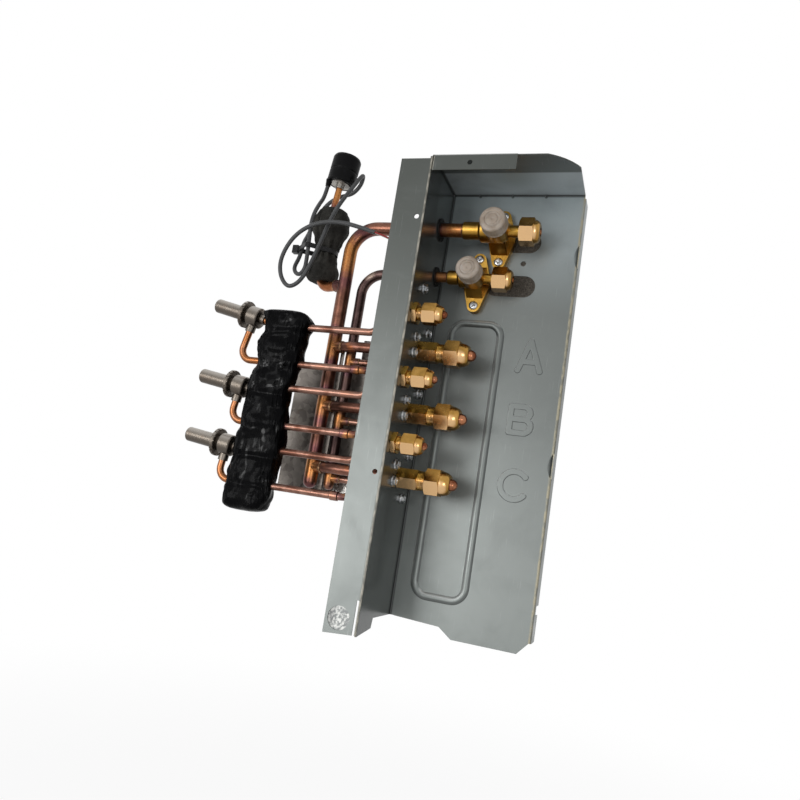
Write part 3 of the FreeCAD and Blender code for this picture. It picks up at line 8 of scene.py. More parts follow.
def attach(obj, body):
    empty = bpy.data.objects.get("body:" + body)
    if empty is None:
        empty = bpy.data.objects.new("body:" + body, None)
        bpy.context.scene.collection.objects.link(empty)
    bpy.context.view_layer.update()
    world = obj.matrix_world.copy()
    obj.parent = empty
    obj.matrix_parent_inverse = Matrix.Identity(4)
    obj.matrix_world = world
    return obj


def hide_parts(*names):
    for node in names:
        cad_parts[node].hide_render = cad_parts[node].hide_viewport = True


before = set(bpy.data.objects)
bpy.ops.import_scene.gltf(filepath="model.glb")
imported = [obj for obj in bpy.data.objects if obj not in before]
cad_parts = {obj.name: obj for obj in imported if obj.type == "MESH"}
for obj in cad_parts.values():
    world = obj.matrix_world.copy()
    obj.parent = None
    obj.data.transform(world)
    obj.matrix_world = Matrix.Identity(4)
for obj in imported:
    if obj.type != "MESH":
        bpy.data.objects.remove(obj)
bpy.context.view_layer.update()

bl_info = {
    "name": "Refrigerant distributor",
    "version": (1, 0, 0),
    "blender": (4, 5, 0),
    "location": "3D View > Sidebar > Distributor",
    "description": "Dresses the packed three-circuit refrigerant distributor panel",
    "category": "Object",
}

MM = 0.001
ROOT = "root"

# The panel datum's zero in the part's frame: millimetres from the flange screws' middle
DATUM = np.array((6.2, 76.0, -227.0))
CIRCUITS = ("a", "b", "c")
TURN = 2 * math.pi

# Places in the panel datum, in millimetres: heights of the circuits, x and y of the headers, y of the ports
# with the short ports' rise over the long ones, and the service valves
CIRCUIT_Z = (229.0, 173.0, 117.0)
GAS_HEADER = (-86.0, -25.0)
LIQUID_HEADER = (-71.0, -17.0)
LONG_PORT_Y = -32.5
SHORT_PORT_Y = -61.0
SHORT_PORT_RISE = 26.5
UPPER_VALVE_X, UPPER_VALVE_Z = 53.5, 346.8
LOWER_VALVE_X, LOWER_VALVE_Z = 36.0, 304.6


def tone(red, green, blue):
    """Scene value of a colour given as screen values from 0 to 255."""
    return tuple(c / 12.92 if c <= 0.04045 else ((c + 0.055) / 1.055) ** 2.4
                 for c in (red / 255, green / 255, blue / 255))


def shaded(colour, factor):
    """A colour made darker or lighter by a factor, with no part over 1."""
    return tuple(min(1.0, c * factor) for c in colour)


def place(points):
    """Points of the panel datum in millimetres as points of the part's frame in metres."""
    return (np.asarray(points, float) + DATUM) * MM


# Shader helpers

class Value:
    """A number or colour that a socket gives out, with Python's operators as Math nodes."""

    def __init__(self, finish, socket):
        self.finish = finish
        self.socket = socket

    def _math(self, operation, first, second):
        return self.finish.node("ShaderNodeMath", {"operation": operation}, {0: first, 1: second})

    def __add__(self, other):
        return self._math("ADD", self, other)

    def __radd__(self, other):
        return self._math("ADD", other, self)

    def __sub__(self, other):
        return self._math("SUBTRACT", self, other)

    def __rsub__(self, other):
        return self._math("SUBTRACT", other, self)

    def __mul__(self, other):
        return self._math("MULTIPLY", self, other)

    def __rmul__(self, other):
        return self._math("MULTIPLY", other, self)

    def __pow__(self, other):
        return self._math("POWER", self, other)

    def size(self):
        return self.finish.node("ShaderNodeMath", {"operation": "ABSOLUTE"}, {0: self})

    def step(self, low, high):
        """Smooth rise from 0 at low to 1 at high; high may be the smaller one."""
        rise = {"interpolation_type": "SMOOTHSTEP"}
        if low > high:
            return 1 - self.finish.node("ShaderNodeMapRange", rise, {0: self, 1: high, 2: low})
        return self.finish.node("ShaderNodeMapRange", rise, {0: self, 1: low, 2: high})


class Finish:
    """A procedural material round one Principled shader; lengths in millimetres of the part's frame."""

    def __init__(self, name, **constants):
        self.material = bpy.data.materials.new(name)
        self.material.use_nodes = True
        self.tree = self.material.node_tree
        self.tree.nodes.clear()
        self.shader = self.tree.nodes.new("ShaderNodeBsdfPrincipled")
        output = self.tree.nodes.new("ShaderNodeOutputMaterial")
        self.tree.links.new(self.shader.outputs[0], output.inputs[0])
        for socket, value in constants.items():
            self.shader.inputs[socket.replace("_", " ")].default_value = value
        metres = self.node("ShaderNodeTexCoord", {}, {}, "Object")
        self.at = self.node("ShaderNodeVectorMath", {"operation": "SCALE"}, {0: metres, "Scale": 1 / MM})
        self.normal = self.node("ShaderNodeTexCoord", {}, {}, "Normal")

    def node(self, kind, settings, sockets, output=0):
        """Adds a node: its settings first, then the values or links of its sockets."""
        made = self.tree.nodes.new(kind)
        for name, value in settings.items():
            if name == "stops":
                ramp = made.color_ramp
                while len(ramp.elements) < len(value):
                    ramp.elements.new(0.5)
                for element, (position, colour) in zip(ramp.elements, value):
                    element.position = position
                    element.color = (*colour, 1.0)
            else:
                setattr(made, name, value)
        for key, value in sockets.items():
            self.feed(made.inputs[key], value)
        return Value(self, made.outputs[output])

    def feed(self, socket, value):
        """Links a socket to a Value, or sets its own number or colour."""
        if isinstance(value, Value):
            self.tree.links.new(value.socket, socket)
        elif socket.type == "RGBA" and len(value) == 3:
            socket.default_value = (*value, 1.0)
        else:
            socket.default_value = value

    def axis(self, name, source=None):
        """One coordinate of the place on the piece, or of another vector."""
        return self.node("ShaderNodeSeparateXYZ", {}, {0: source or self.at}, name)

    def stretched(self, stretch):
        """The place on the piece, scaled along each axis."""
        return self.node("ShaderNodeVectorMath", {"operation": "MULTIPLY"}, {0: self.at, 1: stretch})

    def noise(self, size, detail=3.0, roughness=0.55, stretch=None, distortion=0.0):
        """Cloudy pattern whose blotches are about size millimetres, divided by the stretch of each axis."""
        return self.node("ShaderNodeTexNoise", {}, {
            "Vector": self.stretched(stretch) if stretch else self.at, "Scale": 1 / size, "Detail": detail,
            "Roughness": roughness, "Distortion": distortion})

    def cells(self, size, output="Color"):
        """Crystal pattern whose cells are about size millimetres."""
        return self.node("ShaderNodeTexVoronoi", {}, {"Vector": self.at, "Scale": 1 / size}, output)

    def distance(self, centre):
        """Distance in millimetres from a point of the panel datum."""
        centre = tuple(float(c) for c in np.asarray(centre) + DATUM)
        return self.node("ShaderNodeVectorMath", {"operation": "DISTANCE"}, {0: self.at, 1: centre}, "Value")

    def from_line(self, one, one_at, other, other_at):
        """Distance in millimetres from the line on which two coordinates of the part have these values."""
        return ((one - one_at) ** 2.0 + (other - other_at) ** 2.0) ** 0.5

    def mix(self, amount, first, second):
        """Colour between two colours."""
        return self.node("ShaderNodeMix", {"data_type": "RGBA"}, {0: amount, 6: first, 7: second}, 2)

    def ramp(self, amount, *stops):
        """Colour that follows a value through stops of (position, colour)."""
        return self.node("ShaderNodeValToRGB", {"stops": stops}, {0: amount})

    def relief(self, height, depth):
        """Gives the surface the bumps of a height from 0 to 1, depth millimetres high."""
        bump = self.node("ShaderNodeBump", {}, {"Strength": 1.0, "Distance": depth * MM, "Height": height})
        self.feed(self.shader.inputs["Normal"], bump)

    def paint(self, **sockets):
        """Feeds the shader's sockets and returns the material."""
        for name, value in sockets.items():
            self.feed(self.shader.inputs[name.replace("_", " ")], value)
        return self.material


# Mesh helpers

DOUBLES_DISTANCE = 2e-6
SHARP_ANGLE = math.radians(32)
WAVES = 20
BEAD_AROUND, BEAD_SECTION = 36, 10


def quads(rows, columns, round_rows, round_columns):
    """Faces of a grid of points, as indices, joined round in either direction."""
    index = np.arange(rows * columns).reshape(rows, columns)
    if round_columns:
        index = np.hstack([index, index[:, :1]])
    if round_rows:
        index = np.vstack([index, index[:1]])
    return np.stack([index[:-1, :-1], index[:-1, 1:], index[1:, 1:], index[1:, :-1]], axis=-1).reshape(-1, 4)


def outward(points, faces):
    """True where the faces of a closed form point away from its middle."""
    corners = points[faces] - points.mean(axis=0)
    normals = np.cross(corners[:, 2] - corners[:, 0], corners[:, 3] - corners[:, 1])
    return (normals * corners.mean(axis=1)).sum() > 0


def make_piece(name, grids, material, nodes=(), tube=True, ring=False, flip=False):
    """Object from grids of points in metres. A tube joins its last column to its first and has its
    ends closed, a ring also joins its last row to its first, and a sheet is left open; flip turns a
    sheet's faces over."""
    points = []
    faces = []
    count = 0
    for grid in grids:
        rows, columns = grid.shape[:2]
        flat = grid.reshape(-1, 3)
        cells = quads(rows, columns, ring, tube)
        ends = np.empty((0, columns), int)
        if tube and not ring:
            first, last = np.arange(columns), np.arange((rows - 1) * columns, rows * columns)
            ends = np.stack([first[::-1], last])
        turn_over = not outward(flat, cells) if tube else flip
        if turn_over:
            cells, ends = cells[:, ::-1], ends[:, ::-1]
        faces += (cells + count).tolist() + (ends + count).tolist()
        points.append(flat)
        count += len(flat)
    mesh = bpy.data.meshes.new(name)
    mesh.from_pydata(np.concatenate(points), [], faces)
    mesh.materials.append(material)
    piece = bpy.data.objects.new(name, mesh)
    bpy.context.scene.collection.objects.link(piece)
    crisp(piece)
    return settle(piece, nodes)


def settle(piece, nodes):
    """Puts a piece on the part's only body and hides the CAD nodes that it stands for."""
    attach(piece, ROOT)
    if nodes:
        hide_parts(*nodes)
    return piece


def edge_group():
    """Node group that joins a mesh's doubles, shades it smooth and keeps its real edges sharp."""
    known = bpy.data.node_groups.get("crisp_edges")
    if known:
        return known
    tree = bpy.data.node_groups.new("crisp_edges", "GeometryNodeTree")
    tree.interface.new_socket("Geometry", in_out="INPUT", socket_type="NodeSocketGeometry")
    tree.interface.new_socket("Geometry", in_out="OUTPUT", socket_type="NodeSocketGeometry")
    start = tree.nodes.new("NodeGroupInput")
    end = tree.nodes.new("NodeGroupOutput")
    merge = tree.nodes.new("GeometryNodeMergeByDistance")
    merge.inputs["Distance"].default_value = DOUBLES_DISTANCE
    smooth = tree.nodes.new("GeometryNodeSetShadeSmooth")
    sharp = tree.nodes.new("GeometryNodeSetShadeSmooth")
    sharp.domain = "EDGE"
    sharp.inputs["Shade Smooth"].default_value = False
    angle = tree.nodes.new("GeometryNodeInputMeshEdgeAngle")
    over = tree.nodes.new("FunctionNodeCompare")
    over.operation = "GREATER_THAN"
    over.inputs[1].default_value = SHARP_ANGLE
    tree.links.new(start.outputs[0], merge.inputs["Geometry"])
    tree.links.new(merge.outputs[0], smooth.inputs["Geometry"])
    tree.links.new(smooth.outputs[0], sharp.inputs["Geometry"])
    tree.links.new(angle.outputs["Unsigned Angle"], over.inputs[0])
    tree.links.new(over.outputs[0], sharp.inputs["Selection"])
    tree.links.new(sharp.outputs[0], end.inputs[0])
    return tree


def crisp(piece):
    """Smooth shading with sharp edges and even flat faces."""
    piece.modifiers.new("edges", "NODES").node_group = edge_group()
    weights = piece.modifiers.new("flats", "WEIGHTED_NORMAL")
    weights.keep_sharp = True


def walled(piece, thickness, offset):
    """Gives an open sheet its thickness in metres, ahead of the two modifiers that smooth it."""
    wall = piece.modifiers.new("wall", "SOLIDIFY")
    wall.thickness = thickness
    wall.offset = offset
    piece.modifiers.move(2, 0)


def dress(names, material):
    """Gives CAD nodes a finish and smooth shading."""
    for name in names:
        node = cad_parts[name]
        node.data.materials.clear()
        node.data.materials.append(material)
        crisp(node)


def unevenness(points, size, seed):
    """Smooth noise of about -1 to 1: the sum of sine waves in random directions, about size millimetres
    long, over the root of their number."""
    chance = np.random.default_rng(seed)
    heading = chance.normal(size=(WAVES, 3))
    heading /= np.linalg.norm(heading, axis=1)[:, None]
    lengths = size * MM * chance.uniform(0.7, 1.6, WAVES)
    phase = points @ (heading * TURN / lengths[:, None]).T + chance.uniform(0, TURN, WAVES)
    return np.sin(phase).sum(axis=-1) / math.sqrt(WAVES)


def side_axes(along):
    """A direction as a unit vector, and two unit vectors across it and across each other."""
    along = np.asarray(along, float) / np.linalg.norm(along)
    helper = np.array((0.0, 0.0, 1.0)) if abs(along[2]) < 0.9 else np.array((1.0, 0.0, 0.0))
    first = np.cross(helper, along)
    first /= np.linalg.norm(first)
    return along, first, np.cross(along, first)


def turned(profile, origin, along, around, shape=None):
    """Surface of revolution: (distance, radius) pairs in millimetres carried round an axis that starts at a
    point of the panel datum; shape(distance, angle) is a factor on the radius."""
    profile = np.asarray(profile, float)
    axis, first, second = side_axes(along)
    angle = np.arange(around) * TURN / around
    reach, turn = np.meshgrid(profile[:, 0], angle, indexing="ij")
    radius = np.repeat(profile[:, 1:2], around, axis=1)
    if shape:
        radius = radius * shape(reach, turn)
    across = np.cos(turn)[..., None] * first + np.sin(turn)[..., None] * second
    return place(np.asarray(origin, float) + reach[..., None] * axis + radius[..., None] * across)


def squared(wave):
    """A sine or cosine flattened towards a square wave, which makes a rounded box of a circle."""
    return np.sign(wave) * np.abs(wave) ** 0.3


def softened(corners, step, reach):
    """A profile of corners with points every step millimetres, each the weighted mean of its neighbours."""
    corners = np.asarray(corners, float)
    length = np.concatenate([[0], np.cumsum(np.linalg.norm(np.diff(corners, axis=0), axis=1))])
    count = max(int(length[-1] / step), 4)
    at = np.linspace(0, length[-1], count)
    line = np.stack([np.interp(at, length, corners[:, k]) for k in range(corners.shape[1])], axis=1)
    padded = np.pad(line, ((reach, reach), (0, 0)), mode="reflect", reflect_type="odd")
    weights = np.hanning(2 * reach + 3)[1:-1]
    weights /= weights.sum()
    return np.stack([np.convolve(padded[:, k], weights, "valid") for k in range(corners.shape[1])], axis=1)


def torus(centre, along, radius, bead, seed):
    """Ring of a bead about a point: radius + bead cos t outwards and 1.5 bead sin t along the axis, the
    bead's thickness swelling twice and five times a turn."""
    axis, first, second = side_axes(along)
    turn, t = np.meshgrid(np.arange(BEAD_AROUND) * TURN / BEAD_AROUND,
                          np.arange(BEAD_SECTION) * TURN / BEAD_SECTION, indexing="ij")
    chance = np.random.default_rng(seed)
    twice = np.sin(2 * turn + chance.uniform(0, TURN))
    five_times = np.sin(5 * turn + chance.uniform(0, TURN))
    swell = 1 + 0.22 * twice + 0.12 * five_times
    across = np.cos(turn)[..., None] * first + np.sin(turn)[..., None] * second
    out = radius + bead * swell * np.cos(t)
    lift = 1.5 * bead * swell * np.sin(t)
    return place(np.asarray(centre, float) + across * out[..., None] + axis * lift[..., None])


# Sizes and colours a user may change

class FinishColours(bpy.types.PropertyGroup):
    """Main colours of the part's finishes"""
    panel: bpy.props.FloatVectorProperty(
        name="Panel", description="Coated sheet of the panel", subtype="COLOR", size=3, min=0, max=1,
        default=tone(103, 107, 105))
    copper: bpy.props.FloatVectorProperty(
        name="Copper", description="Brown of the aged copper tubes", subtype="COLOR", size=3, min=0, max=1,
        default=tone(112, 74, 60))
    bright_copper: bpy.props.FloatVectorProperty(
        name="Bright copper", description="Orange of the clean and heated copper", subtype="COLOR", size=3,
        min=0, max=1, default=tone(178, 108, 66))
    brass: bpy.props.FloatVectorProperty(
        name="Brass", description="Forged and turned brass", subtype="COLOR", size=3, min=0, max=1,
        default=tone(182, 142, 64))
    valve_metal: bpy.props.FloatVectorProperty(
        name="Valve metal", description="Plated steel of the expansion valves", subtype="COLOR", size=3,
        min=0, max=1, default=tone(110, 103, 95))
    mastic: bpy.props.FloatVectorProperty(
        name="Mastic", description="Black damping mastic", subtype="COLOR", size=3, min=0, max=1,
        default=tone(3, 3, 4))
    foam: bpy.props.FloatVectorProperty(
        name="Foam", description="Dark closed-cell foam", subtype="COLOR", size=3, min=0, max=1,
        default=tone(54, 53, 50))
    lead: bpy.props.FloatVectorProperty(
        name="Lead jacket", description="Grey jacket of the switch lead", subtype="COLOR", size=3, min=0,
        max=1, default=tone(70, 71, 72))


class PieceSizes(bpy.types.PropertyGroup):
    """Sizes of the surface detail"""
    mastic_lumps: bpy.props.FloatProperty(
        name="Mastic lumps", description="Height of the lumps in the pressed mastic", default=0.0009,
        min=0.0, max=0.003, unit="LENGTH", subtype="DISTANCE")
    foam_pleats: bpy.props.FloatProperty(
        name="Foam pleats", description="Depth of the folds that the tie pulls into the foam", default=0.0020,
        min=0.0, max=0.004, unit="LENGTH", subtype="DISTANCE")
    letter_height: bpy.props.FloatProperty(
        name="Letter relief", description="Height of the pressed circuit letters", default=0.00055,
        min=0.0, max=0.0012, unit="LENGTH", subtype="DISTANCE")
    letter_stroke: bpy.props.FloatProperty(
        name="Letter stroke", description="Width of the circuit letters' strokes", default=0.0046,
        min=0.002, max=0.007, unit="LENGTH", subtype="DISTANCE")
    thread_pitch: bpy.props.FloatProperty(
        name="Thread pitch", description="Pitch of the flare threads", default=0.0013,
        min=0.0008, max=0.002, unit="LENGTH", subtype="DISTANCE")


class StageSettings(bpy.types.PropertyGroup):
    """Lamps and floor"""
    key_power: bpy.props.FloatProperty(
        name="Key lamp", description="Power of the soft lamp at the low front left", default=17.0, min=0.0,
        unit="POWER", subtype="POWER")
    fill_power: bpy.props.FloatProperty(
        name="Fill lamp", description="Power of the weak lamp at the low front right", default=5.0, min=0.0,
        unit="POWER", subtype="POWER")
    sky: bpy.props.FloatProperty(
        name="Sky", description="Strength of the even light from all sides", default=0.36, min=0.0, max=1.0)
    floor_height: bpy.props.FloatProperty(
        name="Floor height", description="Height of the floor in the part's frame", default=-0.52,
        unit="LENGTH", subtype="DISTANCE")
    lens: bpy.props.FloatProperty(
        name="Lens", description="Camera's focal length in millimetres", default=32.6, min=10.0)


# Stage

CAMERA_PLACE = (0.2084, -0.5477, -0.1419)
CAMERA_RIGHT = (0.9376, 0.3106, 0.1563)
CAMERA_UP = (-0.09672, -0.19875, 0.97527)
CAMERA_VIEW = (-0.33394, 0.92954, 0.15631)
SENSOR_WIDTH = 36.0
CLIP_START = 0.01
KEY_PLACE, KEY_SIZE = (-0.85, -1.75, -0.05), 0.85
FILL_PLACE, FILL_SIZE = (0.8, -1.6, -0.2), 0.55
FLOOR_HALF = 30.0
WHITE = (1, 1, 1, 1)


def lamp(name, position, target, size, power):
    """Square soft lamp that looks at a point."""
    data = bpy.data.lights.new(name, "AREA")
    data.shape = "SQUARE"
    data.size = size
    data.energy = power
    lamp_object = bpy.data.objects.new(name, data)
    bpy.context.scene.collection.objects.link(lamp_object)
    lamp_object.location = position
    lamp_object.rotation_euler = (Vector(target) - Vector(position)).to_track_quat("-Z", "Y").to_euler()


def seen_by(tree):
    """1 for camera, glossy and transmission rays, as a socket."""
    path = tree.nodes.new("ShaderNodeLightPath")
    total = path.outputs["Is Camera Ray"]
    for name in ("Is Glossy Ray", "Is Transmission Ray"):
        larger = tree.nodes.new("ShaderNodeMath")
        larger.operation = "MAXIMUM"
        tree.links.new(total, larger.inputs[0])
        tree.links.new(path.outputs[name], larger.inputs[1])
        total = larger.outputs[0]
    return total


class DISTRIBUTOR_OT_stage(bpy.types.Operator):
    """Adds the camera, the soft lamps, the sky and the pale floor"""
    bl_idname = "distributor.stage"
    bl_label = "Stage"

    def execute(self, context):
        settings = context.scene.distributor_stage
        data = bpy.data.cameras.new("camera")
        data.lens = settings.lens
        data.sensor_width = SENSOR_WIDTH
        data.clip_start = CLIP_START
        camera = bpy.data.objects.new("camera", data)
        context.scene.collection.objects.link(camera)
        back = tuple(-c for c in CAMERA_VIEW)
        columns = zip(CAMERA_RIGHT, CAMERA_UP, back, CAMERA_PLACE)
        camera.matrix_world = Matrix([*columns, (0, 0, 0, 1)])
        context.scene.camera = camera
        context.scene.view_settings.view_transform = "Standard"
        lamp("key_lamp", KEY_PLACE, (0, 0, 0), KEY_SIZE, settings.key_power)
        lamp("fill_lamp", FILL_PLACE, (0, 0, 0), FILL_SIZE, settings.fill_power)
        world = bpy.data.worlds.new("sky")
        context.scene.world = world
        world.use_nodes = True
        tree = world.node_tree
        tree.nodes.clear()
        white, even = (tree.nodes.new("ShaderNodeBackground") for _ in range(2))
        white.inputs["Color"].default_value = WHITE
        even.inputs["Color"].default_value = WHITE
        even.inputs["Strength"].default_value = settings.sky
        mixed = tree.nodes.new("ShaderNodeMixShader")
        tree.links.new(seen_by(tree), mixed.inputs[0])
        tree.links.new(even.outputs[0], mixed.inputs[1])
        tree.links.new(white.outputs[0], mixed.inputs[2])
        tree.links.new(mixed.outputs[0], tree.nodes.new("ShaderNodeOutputWorld").inputs[0])
        ends = (-FLOOR_HALF, FLOOR_HALF)
        corners = [(x, y, settings.floor_height) for y in ends for x in ends]
        mesh = bpy.data.meshes.new("floor")
        mesh.from_pydata(corners, [], [(0, 1, 3, 2)])
        floor = bpy.data.objects.new("floor", mesh)
        context.scene.collection.objects.link(floor)
        mesh.materials.append(self.floor_finish())
        return {"FINISHED"}

    def floor_finish(self):
        """White floor that keeps a soft shadow under the part and is plain white further off."""
        finish = Finish("floor_paper", Roughness=0.9)
        cloud = finish.noise(180.0, 2.0)
        finish.paint(Base_Color=finish.mix(cloud, (0.95, 0.95, 0.95), (1.0, 1.0, 1.0)))
        tree = finish.tree
        glow = tree.nodes.new("ShaderNodeEmission")
        mixed = tree.nodes.new("ShaderNodeMixShader")
        away = finish.node("ShaderNodeVectorMath", {"operation": "LENGTH"}, {0: finish.at}, "Value")
        finish.feed(mixed.inputs[0], Value(finish, seen_by(tree)) * (0.9 + 0.1 * away.step(600.0, 1400.0)))
        tree.links.new(finish.shader.outputs[0], mixed.inputs[1])
        tree.links.new(glow.outputs[0], mixed.inputs[2])
        output = next(node for node in tree.nodes if node.bl_idname == "ShaderNodeOutputMaterial")
        tree.links.new(mixed.outputs[0], output.inputs[0])
        return finish.material


# Switch lead: the route's points of the CAD tube, from the boot's sleeve to the end of the jacket
LEAD_DIAMETER = 0.004
LEAD_EXIT = (-0.12049, 0.05818, 0.16715)
LEAD_ROUTE = (
    (-128.0, -17.8, 382.5), (-127.5, -26.5, 371.0), (-126.5, -35.0, 358.0), (-127.5, -36.0, 345.0),
    (-129.0, -31.0, 334.5), (-127.8, -31.0, 314.0), (-127.0, -32.0, 301.0), (-134.5, -29.5, 295.5),
    (-143.5, -25.5, 304.0), (-141.5, -20.0, 318.5), (-141.3, -18.5, 334.0), (-144.0, -8.0, 346.0),
    (-143.5, -1.5, 360.0), (-138.0, -1.0, 375.0), (-129.0, -1.0, 386.5), (-117.0, -1.5, 391.5),
    (-105.0, -2.5, 393.5), (-96.0, -6.0, 402.0), (-92.5, -12.0, 409.5), (-92.5, -20.0, 401.0),
    (-95.5, -29.0, 384.5), (-101.5, -37.0, 364.5), (-107.5, -38.5, 345.0), (-111.5, -39.0, 327.5),
    (-116.0, -40.0, 309.5), (-121.0, -41.0, 293.0), (-127.5, -41.5, 283.0), (-137.0, -41.5, 279.5),
    (-146.5, -42.0, 290.5), (-149.0, -43.0, 306.0), (-142.0, -45.0, 323.0), (-129.5, -47.5, 335.0),
    (-112.5, -48.5, 342.0), (-94.0, -46.5, 344.0), (-75.5, -43.5, 341.5), (-57.5, -40.5, 336.5),
)
CORE_DIAMETER = 0.0015
CORE_ROUTE = ((-57.5, -40.5, 336.5), (-48.0, -38.9, 333.9), (-39.5, -37.5, 330.0), (-34.5, -36.8, 322.0),
              (-34.5, -36.8, 312.0))
CORE_SIDE = (0.165, -0.986, 0.0)
CORE_OFFSET = 0.9


def cord_piece(name, points, diameter, material):
    """Round cord on a NURBS line whose control points are the route's own points. It stands for the node
    of its own name without the ending _line."""
    curve = bpy.data.curves.new(name, "CURVE")
    curve.dimensions = "3D"
    curve.bevel_depth = diameter / 2
    curve.bevel_resolution = 5
    curve.resolution_u = 10
    curve.use_fill_caps = True
    line = curve.splines.new("NURBS")
    line.points.add(len(points) - 1)
    line.points.foreach_set("co", np.hstack([points, np.ones((len(points), 1))]).ravel())
    line.order_u = 3
    line.use_endpoint_u = True
    curve.materials.append(material)
    piece = bpy.data.objects.new(name, curve)
    bpy.context.scene.collection.objects.link(piece)
    return settle(piece, (name.replace("_line", ""),))


def jacket_finish(name, colour, gloss):
    """Soft plastic of a lead: slight mottling, dusty patches and a fine extruded skin."""
    finish = Finish(name, IOR=1.35)
    dust = finish.noise(14.0, 4.0).step(0.45, 0.75)
    fine = finish.noise(1.3, 3.0)
    darker = shaded(colour, 0.72)
    lighter = tuple(min(1.0, c * 1.28 + 0.01) for c in colour)
    body = finish.mix(fine, darker, colour)
    finish.relief(finish.noise(0.5, 2.0), 0.03)
    return finish.paint(Base_Color=finish.mix(dust * 0.6, body, lighter), Roughness=gloss + 0.18 * dust)


class DISTRIBUTOR_OT_lead(bpy.types.Operator):
    """Makes the switch lead with its two cores and the connector's finish"""
    bl_idname = "distributor.lead"
    bl_label = "Switch lead"

    def execute(self, context):
        colours = context.scene.distributor_colours
        grey = jacket_finish("lead_jacket", tuple(colours.lead), 0.42)
        route = np.vstack([[LEAD_EXIT], place(LEAD_ROUTE)])
        lead = cord_piece("switch_lead_line", route, LEAD_DIAMETER, grey)
        for name, side, colour in (("switch_core_white", -1, tone(205, 203, 196)),
                                   ("switch_core_red", 1, tone(150, 32, 30))):
            points = place(np.array(CORE_ROUTE) + side * CORE_OFFSET * np.array(CORE_SIDE))
            finish = jacket_finish(name, colour, 0.35)
            core = cord_piece(name + "_line", points, CORE_DIAMETER, finish)
        dress(["lead_connector"], self.connector_finish())
        return {"FINISHED"}

    def connector_finish(self):
        """Milky moulded nylon with fine ribs."""
        finish = Finish("connector_nylon", IOR=1.5, Subsurface_Weight=0.15)
        ribs = finish.node("ShaderNodeTexWave", {"wave_type": "BANDS", "bands_direction": "Z"},
                           {"Vector": finish.at, "Scale": 0.32, "Distortion": 0.2}, 1)
        finish.relief(ribs, 0.18)
        cloud = finish.noise(4.0, 3.0)
        return finish.paint(Base_Color=finish.mix(cloud, tone(206, 203, 190), tone(226, 224, 214)),
                            Roughness=0.34 + 0.12 * cloud)


# Sheet metal

WALL_DEPTH = 76.0
PLATE_WIDTH = 123.0
EAVES_Z = 393.3
DISC_X, DISC_Z = -16.6, -0.4
DISC_RADIUS = 9.5
# Spot under the top wall where its painted light is held back, so that it stays darker
UNLIT_SPOT = (64.0, -34.0, 394.0)

# Where the sheet's tones start and are full, in millimetres of the part's frame: by height for the foot,
# the plate's cold top, the painted light under the top wall and the front flange, by depth for the flange,
# and across for the painted shade on the side wall
FOOT_BAND = (0.0, -225.0)
COLD_BAND = (45.0, 150.0)
TOP_WALL_LIGHT_BAND = (160.0, 164.0)
FLANGE_BAND = (-200.0, 170.0)
FRONT_BAND = (34.0, 31.5)
WALL_BAND = (9.0, 7.0)

# Three notches of the top fold and the tongue in each: (y, z) up the plate and under the top wall
RELIEF_X = (26.0, 57.0, 88.0)
RELIEF_Z = 391.9
TAB_LINE = ((0.5, 389.8), (0.55, 394.05), (-4.0, 394.0))
TAB_HALF_WIDTH = 0.93
TAB_HALF_THICKNESS = 0.4

# Two strips over the wall, each by its left, right, low and high edges, and the y of their ends
EDGE_STRIPS = ((-0.97, -0.03, 392.0, 394.4), (-0.9, 0.6, 393.62, 394.38))
EDGE_FRONT_Y, EDGE_BACK_Y = -74.3, -0.4

# Bites of the right fold: the arc of the tongue's inner edge, and (x, y) of its inner and outer edges
LANCE_Z = (146.5, 335.0)
LANCE_RADIUS = 18.25
LANCE_HALF_CHORD = 11.2
LANCE_INNER = (119.5, 0.9)
LANCE_OUTER = (123.45, 3.4)
LANCE_HALF_THICKNESS = 0.4
LANCE_OVERLAP = 0.15

# Foil round the bracket's foot: (y, z) up its front, under and up its back, and the x of its ends
FOIL_LINE = ((-2.68, 115.2), (-2.72, 95.75), (-1.3, 95.75), (-1.32, 110.2))
FOIL_MIDDLE_Y = -2.0
FOIL_LEFT_X, FOIL_RIGHT_X = -73.0, -55.8
FOIL_STEP = 0.45
FOIL_CRUMPLE = 0.16
FOIL_THICKNESS = 0.00012

# Circuit letters: straight strokes by their ends, and bows by centre, radius and degrees
LETTER_STEP = 0.32
LETTER_SLOPE = 0.55
LETTER_SUNK = 0.08
LETTER_THICKNESS = 0.0004
LETTER_LEFT_X, LETTER_RIGHT_X = 77.5, 108.5
LETTER_LOW_Z = {"a": 223.0, "b": 167.5, "c": 110.0}
LETTER_GRID_HEIGHT = 35.5
LETTERS = {
    "a": [((82.9, 227.5), (91.9, 254.8)), ((91.9, 254.8), (102.4, 227.5)), ((86.2, 235.6), (98.4, 235.6))],
    "b": [((82.2, 171.8), (82.2, 195.2)), ((82.2, 195.2), (93.5, 195.2)), ((82.2, 183.8), (94.6, 183.8)),
          ((82.2, 171.8), (94.6, 171.8))],
    "c": [],
}
LETTER_BOWS = {
    "a": [],
    "b": [((93.5, 189.5), 5.7, -90, 90), ((94.6, 177.8), 6.0, -90, 90)],
    "c": [((93.2, 126.0), 12.0, 42, 318)],
}


